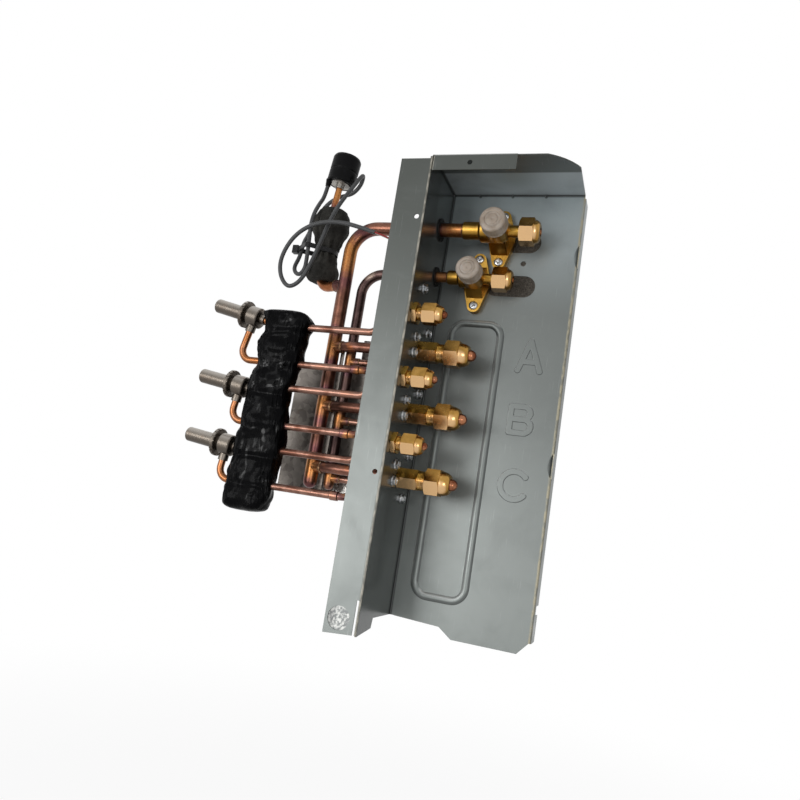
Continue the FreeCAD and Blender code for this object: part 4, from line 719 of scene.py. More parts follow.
def stroke_distance(x, z, strokes, bows):
    """Distance in millimetres from grid points to the middle line of the nearest stroke or bow: to its
    nearest point, whose share of the stroke or angle of the bow is kept between the ends."""
    nearest = np.full(x.shape, np.inf)
    for (x0, z0), (x1, z1) in strokes:
        share = ((x - x0) * (x1 - x0) + (z - z0) * (z1 - z0)) / ((x1 - x0) ** 2 + (z1 - z0) ** 2)
        share = np.clip(share, 0, 1)
        off_x, off_z = x - x0 - share * (x1 - x0), z - z0 - share * (z1 - z0)
        nearest = np.minimum(nearest, np.hypot(off_x, off_z))
    for (cx, cz), radius, low, high in bows:
        middle = math.radians((low + high) / 2)
        turn = (np.arctan2(z - cz, x - cx) - middle + math.pi) % TURN - math.pi
        reach = math.radians(high - low) / 2
        turn = middle + np.clip(turn, -reach, reach)
        off_x, off_z = x - cx - radius * np.cos(turn), z - cz - radius * np.sin(turn)
        nearest = np.minimum(nearest, np.hypot(off_x, off_z))
    return nearest


def panel_finish(colour):
    """Coated sheet: paler towards its foot and colder at the plate's top, with painted light on the faces
    under the top wall, and with cloudy handling marks, flecks and fine scratches. The front flange is darker
    towards its top, the side wall's inner face carries painted shade and is glossier than the plate, and
    slanting flanks carry a painted highlight or painted shade by where they face."""
    finish = Finish("coated_sheet", Metallic=0.55, IOR=1.45)
    across, depth, height = (finish.axis(name) for name in "XYZ")
    facing_across, facing_back, facing_up = (finish.axis(name, finish.normal) for name in "XYZ")
    cloud = finish.noise(38.0, 4.0, 0.6, distortion=0.4)
    smear = finish.noise(16.0, 5.0, 0.62, (0.35, 1.0, 1.0))
    fleck = finish.noise(1.1, 2.0)
    pale = shaded(colour, 1.5)
    cold = (colour[0] * 2.1, colour[1] * 2.2, colour[2] * 2.35)
    front = depth.step(*FRONT_BAND)
    sheet = finish.mix(height.step(*COLD_BAND) * (1 - front), colour, cold)
    # Painted light: faces that look down under the top wall are made pale, less so round the unlit spot
    under = facing_up.step(-0.8, -0.95) * height.step(*TOP_WALL_LIGHT_BAND)
    unlit_spot = finish.distance(UNLIT_SPOT).step(30.0, 4.0)
    sheet = finish.mix(under * (1 - 0.75 * unlit_spot), sheet, tone(176, 183, 186))
    sheet = finish.mix(height.step(*FOOT_BAND) * (1 - 0.4 * front), sheet, pale)
    sheet = finish.mix(front * height.step(*FLANGE_BAND) * 0.8, sheet, tone(68, 71, 67))
    # Painted shade darkens the side wall's inner face; the same mask also makes it glossier
    wall = facing_across.step(0.8, 0.95) * across.step(*WALL_BAND)
    sheet = finish.mix(wall * 0.75, sheet, tone(64, 66, 65))
    sheet = finish.mix((cloud - 0.42).step(0.0, 0.35) * 0.22, sheet, shaded(colour, 0.7))
    sheet = finish.mix(smear.step(0.52, 0.78) * 0.16, sheet, pale)
    sheet = finish.mix(fleck.step(0.62, 0.82) * 0.10, sheet, tone(60, 62, 62))
    scratch = finish.noise(26.0, 2.0, 0.5, (26.0, 1.0, 0.9)).step(0.66, 0.72)
    sheet = finish.mix(scratch * 0.14, sheet, tone(168, 170, 168))
    # Painted highlight on slanting flanks that face up and to the left, painted shade on those that face down
    # and to the right
    lit = facing_up * 0.9 - facing_across * 0.45
    leaning = facing_back.step(-0.99, -0.95) * facing_back.step(-0.15, -0.4)
    sheet = finish.mix(leaning * lit.step(0.08, 0.3) * 0.6, sheet, tone(200, 203, 201))
    sheet = finish.mix(leaning * lit.step(-0.08, -0.3) * 0.5, sheet, tone(58, 61, 60))
    sheet = worn_and_shaded_folds(finish, sheet, across, depth, height)
    sheet = mottled_disc(finish, sheet, across, depth, height)
    finish.relief(finish.noise(0.9, 3.0) * 0.5 + cloud * 0.5, 0.04)
    return finish.paint(Base_Color=sheet, Roughness=0.34 + 0.12 * cloud - 0.1 * scratch - 0.16 * wall)


def worn_and_shaded_folds(finish, sheet, across, depth, height):
    """The sheet's colour with its outer folds chipped pale, and painted shade along its inner folds and in
    its notches.
    """
    wall_x, back_y, zero_z = (float(c) for c in DATUM)
    front_y = back_y - WALL_DEPTH
    side_x = wall_x + PLATE_WIDTH
    chip = finish.noise(2.6, 3.0, 0.6, (1.0, 1.0, 0.35))
    for fold_x, fold_y, light in ((wall_x, front_y, tone(172, 168, 156)),
                                  (side_x, back_y, tone(150, 144, 124))):
        off = finish.from_line(across, fold_x, depth, fold_y)
        sheet = finish.mix(off.step(1.9, 0.9) * (0.35 + 0.65 * chip.step(0.4, 0.6)), sheet, light)
    eaves_z = zero_z + EAVES_Z
    # Painted shade along the inner folds: plate and top wall, wall and plate, wall and top wall
    for one, other, one_at, other_at in ((depth, height, back_y - 0.3, eaves_z),
                                         (across, depth, wall_x + 0.3, back_y - 0.3),
                                         (across, height, wall_x + 0.2, eaves_z)):
        inside = finish.from_line(one, one_at, other, other_at)
        sheet = finish.mix(inside.step(2.0, 0.9) * 0.8, sheet, tone(40, 42, 42))
    # Painted shade in the notches of the top fold
    for notch_x in RELIEF_X:
        notch = finish.distance((notch_x, 0.0, RELIEF_Z)).step(1.7, 1.0)
        sheet = finish.mix(notch * 0.7, sheet, tone(44, 46, 46))
    return sheet


def mottled_disc(finish, sheet, across, depth, height):
    """The sheet's colour with its knock-out disc mottled and shaded towards its left."""
    disc_x, disc_z = DISC_X + float(DATUM[0]), DISC_Z + float(DATUM[2])
    from_disc = finish.from_line(across, disc_x, height, disc_z)
    on_disc = from_disc.step(DISC_RADIUS, DISC_RADIUS - 0.5) * depth.step(3.0, 2.0)
    mottle = finish.noise(2.4, 4.0, 0.65).step(0.42, 0.62)
    sheet = finish.mix(on_disc * 0.75, sheet, finish.mix(mottle, tone(104, 106, 106), tone(196, 196, 192)))
    shade = on_disc * ((disc_x - 1.0) - across).step(0.0, 6.5)
    return finish.mix(shade * 0.5, sheet, tone(66, 66, 66))


def zinc_finish(name, light, dark, grain, rough):
    """Zinc-coated or pale metal with a crystal spangle, brown stains and a soft sheen."""
    finish = Finish(name, Metallic=0.85)
    spangle = finish.axis("X", finish.cells(grain))
    stain = finish.noise(22.0, 4.0, 0.65, distortion=0.6).step(0.5, 0.78)
    body = finish.mix(spangle, dark, light)
    body = finish.mix(stain * 0.55, body, tone(96, 82, 70))
    finish.relief(finish.noise(2.0, 4.0) * 0.6 + spangle * 0.4, 0.06)
    return finish.paint(Base_Color=body, Roughness=rough + 0.2 * stain + 0.12 * spangle)


class DISTRIBUTOR_OT_sheet_metal(bpy.types.Operator):
    """Finishes the panel, bracket, felt and grommets, closes the folds' small gaps and makes the letters"""
    bl_idname = "distributor.sheet_metal"
    bl_label = "Panel and bracket"

    def execute(self, context):
        sizes = context.scene.distributor_sizes
        sheet = panel_finish(tuple(context.scene.distributor_colours.panel))
        dress(["valve_panel"], sheet)
        strips = [self.edge_strip(*edges) for edges in EDGE_STRIPS]
        make_piece("wall_edge_strip", strips, sheet)
        make_piece("fold_tabs", [self.fold_tab(x) for x in RELIEF_X], sheet)
        make_piece("fold_lances", [self.fold_lance(z) for z in LANCE_Z], sheet)
        for name in CIRCUITS:
            self.letter(name, sizes.letter_stroke / MM, sizes.letter_height / MM, sheet)
        dress(["slot_felt"], self.felt_finish())
        dress(["pipe_grommets"], self.rubber_finish())
        dress(["pipe_bracket", "pipe_strap"],
              zinc_finish("galvanised", tone(136, 130, 124), tone(96, 91, 86), 5.0, 0.38))
        self.foil(zinc_finish("crinkled_foil", tone(176, 174, 170), tone(120, 117, 113), 2.5, 0.24))
        return {"FINISHED"}

    def edge_strip(self, left, right, low, high):
        """Side wall's upper edge up to the top wall: a squared superellipse between two widths and two
        heights, carried along the wall."""
        y, turn = np.meshgrid(np.linspace(EDGE_FRONT_Y, EDGE_BACK_Y, 60), np.arange(24) * TURN / 24,
                              indexing="ij")
        x = (left + right) / 2 + (right - left) / 2 * squared(np.cos(turn))
        z = (low + high) / 2 + (high - low) / 2 * squared(np.sin(turn))
        return place(np.stack([x, y, z], axis=-1))

    def fold_tab(self, middle):
        """Tongue of sheet left in a notch of the fold: a flat squared section carried up the plate and
        forward under the top wall, sunk a little below both faces."""
        line = softened(TAB_LINE, 0.15, 1)
        along = np.gradient(line, axis=0)
        along /= np.linalg.norm(along, axis=1)[:, None]
        row, turn = np.meshgrid(np.arange(len(line)), np.arange(24) * TURN / 24, indexing="ij")
        thick = TAB_HALF_THICKNESS * squared(np.sin(turn))
        y = line[row, 0] - thick * along[row, 1]
        z = line[row, 1] + thick * along[row, 0]
        return place(np.stack([middle + TAB_HALF_WIDTH * squared(np.cos(turn)), y, z], axis=-1))

    def fold_lance(self, middle):
        """Tongue of sheet pressed into a bite of the right fold: a flat ellipse from the bite's arc, whose
        x grows by radius (1 - cos v), to the side flange's edge, carried along the arc and lapping over
        both a little."""
        swing = np.arcsin(LANCE_HALF_CHORD / LANCE_RADIUS)
        row, turn = np.meshgrid(np.linspace(-swing, swing, 40), np.arange(20) * TURN / 20, indexing="ij")
        inner_x = LANCE_INNER[0] + LANCE_RADIUS * (1 - np.cos(row))
        inner = np.stack([inner_x, np.full_like(row, LANCE_INNER[1])], axis=-1)
        outer = np.stack([np.full_like(row, LANCE_OUTER[0]), np.full_like(row, LANCE_OUTER[1])], axis=-1)
        half = (outer - inner) / 2
        length = np.linalg.norm(half, axis=-1, keepdims=True)
        side = np.stack([half[..., 1], -half[..., 0]], axis=-1) / length
        flat = (inner + outer) / 2 + half * (1 + LANCE_OVERLAP / length) * np.cos(turn)[..., None]
        flat = flat + LANCE_HALF_THICKNESS * side * np.sin(turn)[..., None]
        z = middle + LANCE_RADIUS * np.sin(row)
        return place(np.stack([flat[..., 0], flat[..., 1], z], axis=-1))

    def felt_finish(self):
        """Dark brown-grey felt with crossed fibres."""
        finish = Finish("backing_felt", IOR=1.3)
        fibres = finish.noise(1.6, 4.0, 0.7, (2.4, 1.0, 0.5), 1.5)
        crossed = finish.noise(1.6, 4.0, 0.7, (0.5, 1.0, 2.4), 1.5)
        finish.relief(fibres * 0.5 + crossed * 0.5, 0.35)
        tuft = (fibres * crossed).step(0.12, 0.42)
        return finish.paint(Base_Color=finish.mix(tuft, tone(44, 41, 37), tone(104, 98, 90)),
                            Roughness=0.9 - 0.1 * tuft)

    def rubber_finish(self):
        """Black rubber with a pale bloom."""
        finish = Finish("grommet_rubber", IOR=1.3)
        bloom = finish.noise(3.0, 4.0, 0.65).step(0.45, 0.8)
        finish.relief(finish.noise(0.7, 3.0), 0.05)
        return finish.paint(Base_Color=finish.mix(bloom, tone(14, 14, 14), tone(34, 33, 32)),
                            Roughness=0.5 + 0.2 * bloom)

    def letter(self, name, stroke, height, material):
        """Pressed letter as a height over a grid: a plateau within half a stroke of its lines, with
        smooth flanks, and a rim just under the plate's face."""
        low_z = LETTER_LOW_Z[name]
        x, z = np.meshgrid(np.arange(LETTER_LEFT_X, LETTER_RIGHT_X, LETTER_STEP),
                           np.arange(low_z, low_z + LETTER_GRID_HEIGHT, LETTER_STEP), indexing="ij")
        off = stroke_distance(x, z, LETTERS[name], LETTER_BOWS[name])
        gap = (stroke / 2 + LETTER_SLOPE - off) / LETTER_SLOPE
        rise = np.clip(gap, 0, 1)
        rise = rise * rise * (3 - 2 * rise)
        grid = place(np.stack([x, LETTER_SUNK - (height + LETTER_SUNK) * rise, z], axis=-1))
        piece = make_piece("circuit_letter_" + name, [grid], material, tube=False, flip=True)
        walled(piece, LETTER_THICKNESS, -1.0)

    def foil(self, material):
        """Foil tape folded round the bracket's foot: a line up its front, under and up its back, carried
        sideways, with crinkles of two sizes."""
        line = softened(FOIL_LINE, FOIL_STEP, 2)
        along, across = np.meshgrid(np.arange(len(line)), np.arange(FOIL_LEFT_X, FOIL_RIGHT_X, FOIL_STEP),
                                    indexing="ij")
        grid = place(np.stack([across, line[along, 0], line[along, 1]], axis=-1))
        outside = np.sign(line[along, 0] - FOIL_MIDDLE_Y)
        crumple = 0.5 * unevenness(grid, 4.0, 31) + 0.3 * unevenness(grid, 1.6, 32)
        grid[..., 1] += outside * FOIL_CRUMPLE * MM * (1 + crumple)
        piece = make_piece("foil_tape_skin", [grid], material, ("foil_tape",), tube=False)
        walled(piece, FOIL_THICKNESS, 0.0)


# Copper

COPPER_TUBES = ["gas_branch_" + c for c in CIRCUITS]
THIN_TUBES = [kind + c for kind in ("outlet_tube_", "inlet_tube_") for c in CIRCUITS]

# Heights in the datum of the gas header's bend, the inlet tubes at the liquid header, and the riser's foot,
# and how far from a header's middle its branches' beads lie
GAS_BEND_Z = 318.0
INLET_Z = (218.0, 162.0, 109.0)
RISER_FOOT_Z = 290.0
HEADER_TO_BEAD = 11.4
LIQUID_TO_BEAD = 9.8
UNION_END_X = -13.0

# Where the thin tubes turn gold near the expansion valves, in the part's frame
GOLD_LEFT_OF = -118.0


def copper_finish(name, aged, bright, shine, blush, spots=(), pale_spots=(), gold_left_of=None):
    """Copper tube: aged brown with dark, pink and orange clouds. spots and pale_spots are pairs of a place
    in the datum and a reach: round the first the brazing has left a gold tint with a dark ring beyond
    it, and round the others the tube is pale grey. Left of gold_left_of, in the part's millimetres, the
    heat of the valves' brazing has turned the tube gold."""
    finish = Finish(name, Metallic=0.92)
    cloud = finish.noise(24.0, 4.0, 0.6, distortion=0.8)
    drift = finish.noise(9.0, 4.0, 0.6)
    fine = finish.noise(1.6, 3.0, 0.6)
    pink = tuple(0.5 * a + 0.5 * b for a, b in zip(aged, blush))
    body = finish.ramp(cloud, (0.28, shaded(aged, 0.62)), (0.44, aged), (0.56, pink),
                       (0.72, bright))
    body = finish.mix(drift.step(0.55, 0.8) * 0.45, body, shaded(aged, 0.5))
    body = finish.mix(fine.step(0.62, 0.8) * 0.3, body, blush)
    if gold_left_of is not None:
        left = finish.axis("X").step(gold_left_of, gold_left_of - 8.0)
        body = finish.mix(left * (0.35 + 0.5 * drift), body, tone(160, 100, 50))
    for centre, reach in spots:
        frayed = finish.distance(centre) + (drift - 0.5) * (reach * 0.9)
        near = frayed.step(reach, reach * 0.25)
        ring = frayed.step(reach * 1.5, reach) * (1 - near)
        body = finish.mix(ring * 0.55, body, tone(82, 46, 60))
        body = finish.mix(near * 0.8, body, finish.ramp(fine, (0.35, tone(162, 96, 44)),
                                                        (0.6, tone(184, 130, 72)), (0.8, tone(158, 76, 50))))
    for centre, reach in pale_spots:
        near = (finish.distance(centre) + (fine - 0.5) * (reach * 0.5)).step(reach, reach * 0.4)
        body = finish.mix(near * 0.7, body, tone(168, 150, 136))
    finish.relief(fine * 0.6 + drift * 0.4, 0.04)
    return finish.paint(Base_Color=body, Roughness=shine + 0.28 * drift - 0.1 * fine)


class DISTRIBUTOR_OT_copper(bpy.types.Operator):
    """Finishes the headers, branches, capillary runs and riser, and lays the brazed beads"""
    bl_idname = "distributor.copper"
    bl_label = "Copper tubes"

    def execute(self, context):
        colours = context.scene.distributor_colours
        aged, bright = tuple(colours.copper), tuple(colours.bright_copper)
        blush = tone(150, 106, 92)
        dark = shaded(aged, 0.68)
        gas_spots = [((*GAS_HEADER, z), reach)
                     for z, reach in zip((GAS_BEND_Z, *CIRCUIT_Z), (26.0, 16.0, 16.0, 18.0))]
        gas_spots.append(((14.0, GAS_HEADER[1], UPPER_VALVE_Z), 17.0))
        gas = copper_finish("gas_header_copper", dark, aged, 0.26, tone(146, 100, 82), gas_spots)
        liquid_spots = [((*LIQUID_HEADER, z), 12.0) for z in INLET_Z]
        liquid_spots.append(((7.0, LIQUID_HEADER[1], LOWER_VALVE_Z), 13.0))
        liquid = copper_finish("liquid_header_copper", tone(66, 50, 48), tone(104, 78, 70), 0.3,
                               tone(120, 96, 90), liquid_spots, [((-66.0, -20.0, LOWER_VALVE_Z), 9.0)])
        branch = copper_finish("branch_copper", shaded(aged, 0.7), bright, 0.28, blush)
        heated = [((x, SHORT_PORT_Y, z + rise), 8.0) for z in CIRCUIT_Z for x, rise in
                  ((-40.0, SHORT_PORT_RISE), (-34.0, -18.0), (-109.0, SHORT_PORT_RISE))]
        thin = copper_finish("capillary_copper", shaded(aged, 0.8), tone(142, 100, 82), 0.24,
                             tone(160, 126, 112), heated, gold_left_of=GOLD_LEFT_OF)
        riser = copper_finish("riser_copper", shaded(bright, 0.6), bright, 0.22,
                              tone(190, 132, 98), [((-119.0, -12.0, 388.0), 14.0)])
        dress(["gas_header_pipe"], gas)
        dress(["liquid_header_pipe"], liquid)
        dress(COPPER_TUBES, branch)
        dress(THIN_TUBES, thin)
        dress(["riser_tube"], riser)
        self.beads()
        return {"FINISHED"}

    def beads(self):
        """Brazed beads at the joints that show."""
        right = (1, 0, 0)
        gas_way = np.array((24.0, -7.5, 0.0)) / math.hypot(24.0, 7.5)
        riser_way = np.array((-33.0, 13.0, 0.0)) / math.hypot(33.0, 13.0)
        joints = [((22.4, GAS_HEADER[1], UPPER_VALVE_Z), right, 6.5, 0.75),
                  ((12.0, LIQUID_HEADER[1], LOWER_VALVE_Z), right, 4.95, 0.7)]
        ways = [(z, gas_way) for z in CIRCUIT_Z] + [(RISER_FOOT_Z, riser_way)]
        joints += [(np.array((*GAS_HEADER, z)) + way * HEADER_TO_BEAD, way, 4.95, 0.75) for z, way in ways]
        joints += [((LIQUID_HEADER[0] + LIQUID_TO_BEAD, LIQUID_HEADER[1], z), right, 3.3, 0.6)
                   for z in INLET_Z]
        joints += [((UNION_END_X, LONG_PORT_Y, z), right, 4.95, 0.7) for z in CIRCUIT_Z]
        joints += [((UNION_END_X, SHORT_PORT_Y, z + SHORT_PORT_RISE), right, 3.35, 0.6) for z in CIRCUIT_Z]
        grids = [torus(*joint, seed) for seed, joint in enumerate(joints)]
        finish = Finish("braze_alloy", Metallic=0.9)
        cloud = finish.noise(2.2, 3.0)
        body = finish.ramp(cloud, (0.3, tone(70, 48, 38)), (0.5, tone(138, 104, 74)),
                           (0.7, tone(176, 154, 128)))
        finish.relief(finish.noise(0.8, 3.0), 0.08)
        make_piece("brazed_beads", grids, finish.paint(Base_Color=body, Roughness=0.3 + 0.3 * cloud),
                   ring=True)


# Brass

PORTS = [kind + c for kind in ("long_port_", "short_port_") for c in CIRCUITS]
NUTS = ["long_port_nuts", "short_port_nuts", "long_port_lock_nuts", "short_port_lock_nuts", "upper_valve_nut",
        "lower_valve_nut"]
BONNETS = ["long_port_bonnets", "short_port_bonnets", "upper_valve_bonnet", "lower_valve_bonnet"]

# Threads that show at the nuts' mouths: the port's y and rise, the thread's start, end and radius
THREADS = ((LONG_PORT_Y, 0.0, 18.4, 25.3, 7.95), (SHORT_PORT_Y, SHORT_PORT_RISE, 4.6, 8.9, 5.55))
THREAD_ROOT = 0.06
THREAD_DEPTH = 0.42

# Plastic caps: the valve's x and z, the cap's radius, and its foot and top in front of the plate
CAPS = (("upper", UPPER_VALVE_X, UPPER_VALVE_Z, 11.8, 38.0, 52.0),
        ("lower", LOWER_VALVE_X, LOWER_VALVE_Z, 11.0, 32.0, 46.0))
CAP_RIBS = 36
CAP_RIB_SHARE = 0.012


def brass_finish(name, colour, rough, forged):
    """Brass: golden clouds and brown tarnish in patches, with painted shade on faces that look down (brown)
    and on faces that look up (darker brass). Turned brass carries a painted highlight where it faces forwards
    and a little down, and forged brass is pitted."""
    finish = Finish(name, Metallic=1.0)
    cloud = finish.noise(9.0, 4.0, 0.6, distortion=0.3)
    patch = finish.noise(4.5, 4.0, 0.62)
    fine = finish.noise(0.7, 3.0)
    facing_up = finish.axis("Z", finish.normal)
    towards = facing_up * -0.43 + finish.axis("Y", finish.normal) * -0.9
    # Painted highlight where turned brass faces forwards and a little down
    front_highlight = towards.step(0.72, 0.97) * (1 - forged)
    brown = (colour[0] * 0.5, colour[1] * 0.42, colour[2] * 0.32)
    pale = (min(1, colour[0] * 1.3), min(1, colour[1] * 1.35), min(1, colour[2] * 1.6))
    body = finish.ramp(cloud, (0.3, shaded(colour, 0.72)), (0.5, colour), (0.72, pale))
    body = finish.mix(patch.step(0.58, 0.8) * (0.25 + 0.3 * forged), body, brown)
    # Painted shade: brown on faces that look down, darker brass on faces that look up
    body = finish.mix(facing_up.step(0.1, -0.9) * 0.65, body, brown)
    body = finish.mix(facing_up.step(0.3, 1.0) * 0.35, body, shaded(colour, 0.6))
    body = finish.mix(front_highlight * 0.8, body, tone(226, 186, 138))
    if forged:
        finish.relief(finish.noise(1.2, 3.0, 0.6) * 0.6 + patch * 0.4, 0.06)
    else:
        finish.relief(patch, 0.02)
    return finish.paint(Base_Color=body, Roughness=rough + 0.14 * patch - 0.04 * fine)


def thread_grid(origin, along, start, end, radius, pitch):
    """Screw thread: the radius follows a flattened cosine of the distance in pitches less the turn, so that
    the crests climb one pitch a turn."""
    rows = np.arange(start, end, pitch / 8)
    profile = np.stack([rows, np.full(rows.shape, 1.0)], axis=1)

    def height(reach, turn):
        wave = 0.5 + 0.5 * np.cos(TURN * (reach / pitch - turn / TURN))
        return radius + THREAD_ROOT + THREAD_DEPTH * wave ** 0.7

    return turned(profile, origin, along, 56, height)


class DISTRIBUTOR_OT_brass(bpy.types.Operator):
    """Finishes the ports and service valves, cuts their threads and makes their plastic caps"""
    bl_idname = "distributor.brass"
    bl_label = "Ports and service valves"

    def execute(self, context):
        brass = tuple(context.scene.distributor_colours.brass)
        pitch = context.scene.distributor_sizes.thread_pitch / MM
        turned_brass = brass_finish("turned_brass", brass, 0.2, False)
        dress(PORTS, turned_brass)
        dress(NUTS, brass_finish("nut_brass", tone(170, 130, 66), 0.2, False))
        dress(["upper_valve_body", "lower_valve_body"], brass_finish("forged_brass", brass, 0.3, True))
        dress(BONNETS, copper_finish("bonnet_copper", tone(110, 60, 38), tone(166, 98, 60), 0.16,
                                     tone(196, 140, 104)))
        dress(["upper_valve_stem", "lower_valve_stem"],
              zinc_finish("stem_steel", tone(190, 188, 184), tone(150, 148, 146), 1.5, 0.25))
        grids = []
        for z in CIRCUIT_Z:
            for y, rise, start, end, radius in THREADS:
                grids.append(thread_grid((0, y, z + rise), (1, 0, 0), start, end, radius, pitch))
        make_piece("flare_threads", grids, turned_brass)
        cap = self.cap_finish()
        for name, x, z, radius, low, high in CAPS:
            self.cap(name, (x, 0.0, z), radius, low, high, cap)
        return {"FINISHED"}

    def cap(self, name, centre, radius, low, high, material):
        """Round plastic cap: a ribbed side with a rolled rim, and a top face with a ring groove and a
        small middle nub, from its profile turned about the stem's axis. The ribs are a cosine of the
        turn."""
        corners = [(low + 2.2, radius - 1.4), (low, radius - 1.2), (low, radius), (low + 1.6, radius + 0.15),
                   (low + 2.0, radius - 0.15), (high - 1.6, radius - 0.35), (high - 0.3, radius - 1.3),
                   (high, radius - 2.4), (high, radius * 0.62), (high - 0.9, radius * 0.56),
                   (high - 0.9, radius * 0.42), (high - 0.2, radius * 0.36), (high - 0.2, radius * 0.14),
                   (high - 0.6, 0.25)]
        profile = softened(corners, 0.25, 1)
        ribbed = (profile[:, 0] > low + 2.2) & (profile[:, 0] < high - 1.8)

        def ribs(reach, turn):
            return 1 - np.where(ribbed[:, None], CAP_RIB_SHARE * (0.5 + 0.5 * np.cos(CAP_RIBS * turn)), 0)

        grid = turned(profile, centre, (0, -1, 0), 144, ribs)
        make_piece(name + "_cap_shell", [grid], material, (name + "_valve_cap",))

    def cap_finish(self):
        """Translucent polythene, pinkish grey, with the brass below showing through in its middle."""
        finish = Finish("cap_polythene", IOR=1.5, Subsurface_Weight=0.35, Subsurface_Scale=0.004)
        finish.shader.inputs["Subsurface Radius"].default_value = (1.0, 0.7, 0.5)
        cloud = finish.noise(9.0, 3.0, 0.5, distortion=0.3)
        fine = finish.noise(0.9, 3.0)
        body = finish.ramp(cloud, (0.3, tone(138, 124, 110)), (0.5, tone(156, 144, 131)),
                           (0.7, tone(170, 159, 148)))
        upper = finish.distance((UPPER_VALVE_X, -48.0, UPPER_VALVE_Z)).step(7.0, 2.0)
        lower = finish.distance((LOWER_VALVE_X, -42.0, LOWER_VALVE_Z)).step(6.5, 2.0)
        body = finish.mix((upper + lower) * 0.4, body, tone(126, 106, 88))
        finish.relief(fine, 0.05)
        return finish.paint(Base_Color=body, Roughness=0.36 + 0.2 * cloud)


# Expansion valves

class DISTRIBUTOR_OT_expansion_valves(bpy.types.Operator):
    """Finishes the expansion valves' bodies, cans and toothed rings"""
    bl_idname = "distributor.expansion_valves"
    bl_label = "Expansion valves"

    def execute(self, context):
        colour = tuple(context.scene.distributor_colours.valve_metal)
        can = self.metal("valve_can_metal", colour, 0.24, (14.0, 0.6, 0.6))
        body = self.metal("valve_body_metal", shaded(colour, 0.92), 0.28, (7.0, 1.0, 1.0))
        ring = self.metal("valve_ring_metal", shaded(colour, 0.8), 0.32, (3.0, 3.0, 3.0))
        dress(["valve_can_" + c for c in CIRCUITS], can)
        dress(["valve_body_" + c for c in CIRCUITS], body)
        dress(["valve_ring_" + c for c in CIRCUITS], ring)
        return {"FINISHED"}

    def metal(self, name, colour, rough, grain):
        """Plated steel with brushing round the valve's axis, warm stains and small specks, with painted light
        on faces that look up and painted shade on faces that look down. grain stretches the brushing along
        each axis."""
        finish = Finish(name, Metallic=1.0)
        brushing = finish.noise(1.6, 3.0, 0.6, grain).step(0.3, 0.7)
        stain = finish.noise(11.0, 4.0, 0.6).step(0.5, 0.8)
        speck = finish.noise(0.8, 2.0).step(0.66, 0.76)
        facing_up = finish.axis("Z", finish.normal)
        body = finish.mix(brushing, shaded(colour, 0.72), shaded(colour, 1.3))
        body = finish.mix(stain * 0.4, body, tone(120, 98, 80))
        # Painted light on faces that look up, painted shade on faces that look down
        body = finish.mix(facing_up.step(0.1, 0.8) * 0.6, body, tone(196, 190, 182))
        body = finish.mix(facing_up.step(0.2, -0.9) * 0.6, body, tone(64, 57, 52))
        body = finish.mix(speck * 0.35, body, tone(64, 58, 54))
        finish.relief(brushing, 0.012)
        return finish.paint(Base_Color=body, Roughness=rough + 0.16 * brushing + 0.18 * stain)


# Mastic

# Left and right edges as (z, x) in the datum
MASTIC_LEFT = ((69, -146), (95, -148), (123, -145), (174, -144), (202, -139), (218, -142), (232, -137),
               (250, -143))
MASTIC_RIGHT = ((68, -109), (84, -103), (130, -101), (150, -101), (175, -104), (204, -98), (222, -98),
                (240, -93), (250, -100))
MASTIC_LOW, MASTIC_HIGH = 68.6, 250.2
MASTIC_MIDDLE_Y = -60.0
MASTIC_HALF_DEPTH = 13.0
MASTIC_END_REACH = 5.0
MASTIC_LOWEST, MASTIC_HIGHEST = -2.5, 1.2

# Ridges and pinches across the strip: height in the datum, reach up and down, and lift
MASTIC_RIDGES = ((239.0, 7.0, 0.9), (229.0, 3.0, -1.3), (214.0, 9.0, 0.5), (196.0, 4.0, -1.2),
                 (182.0, 7.0, 1.0), (172.0, 2.6, -1.5), (158.0, 9.0, 0.6), (141.0, 4.0, -1.2),
                 (126.0, 6.5, 1.1), (116.0, 2.4, -1.6), (104.0, 8.0, 0.8), (91.0, 2.6, -1.7),
                 (80.0, 7.0, 1.0))


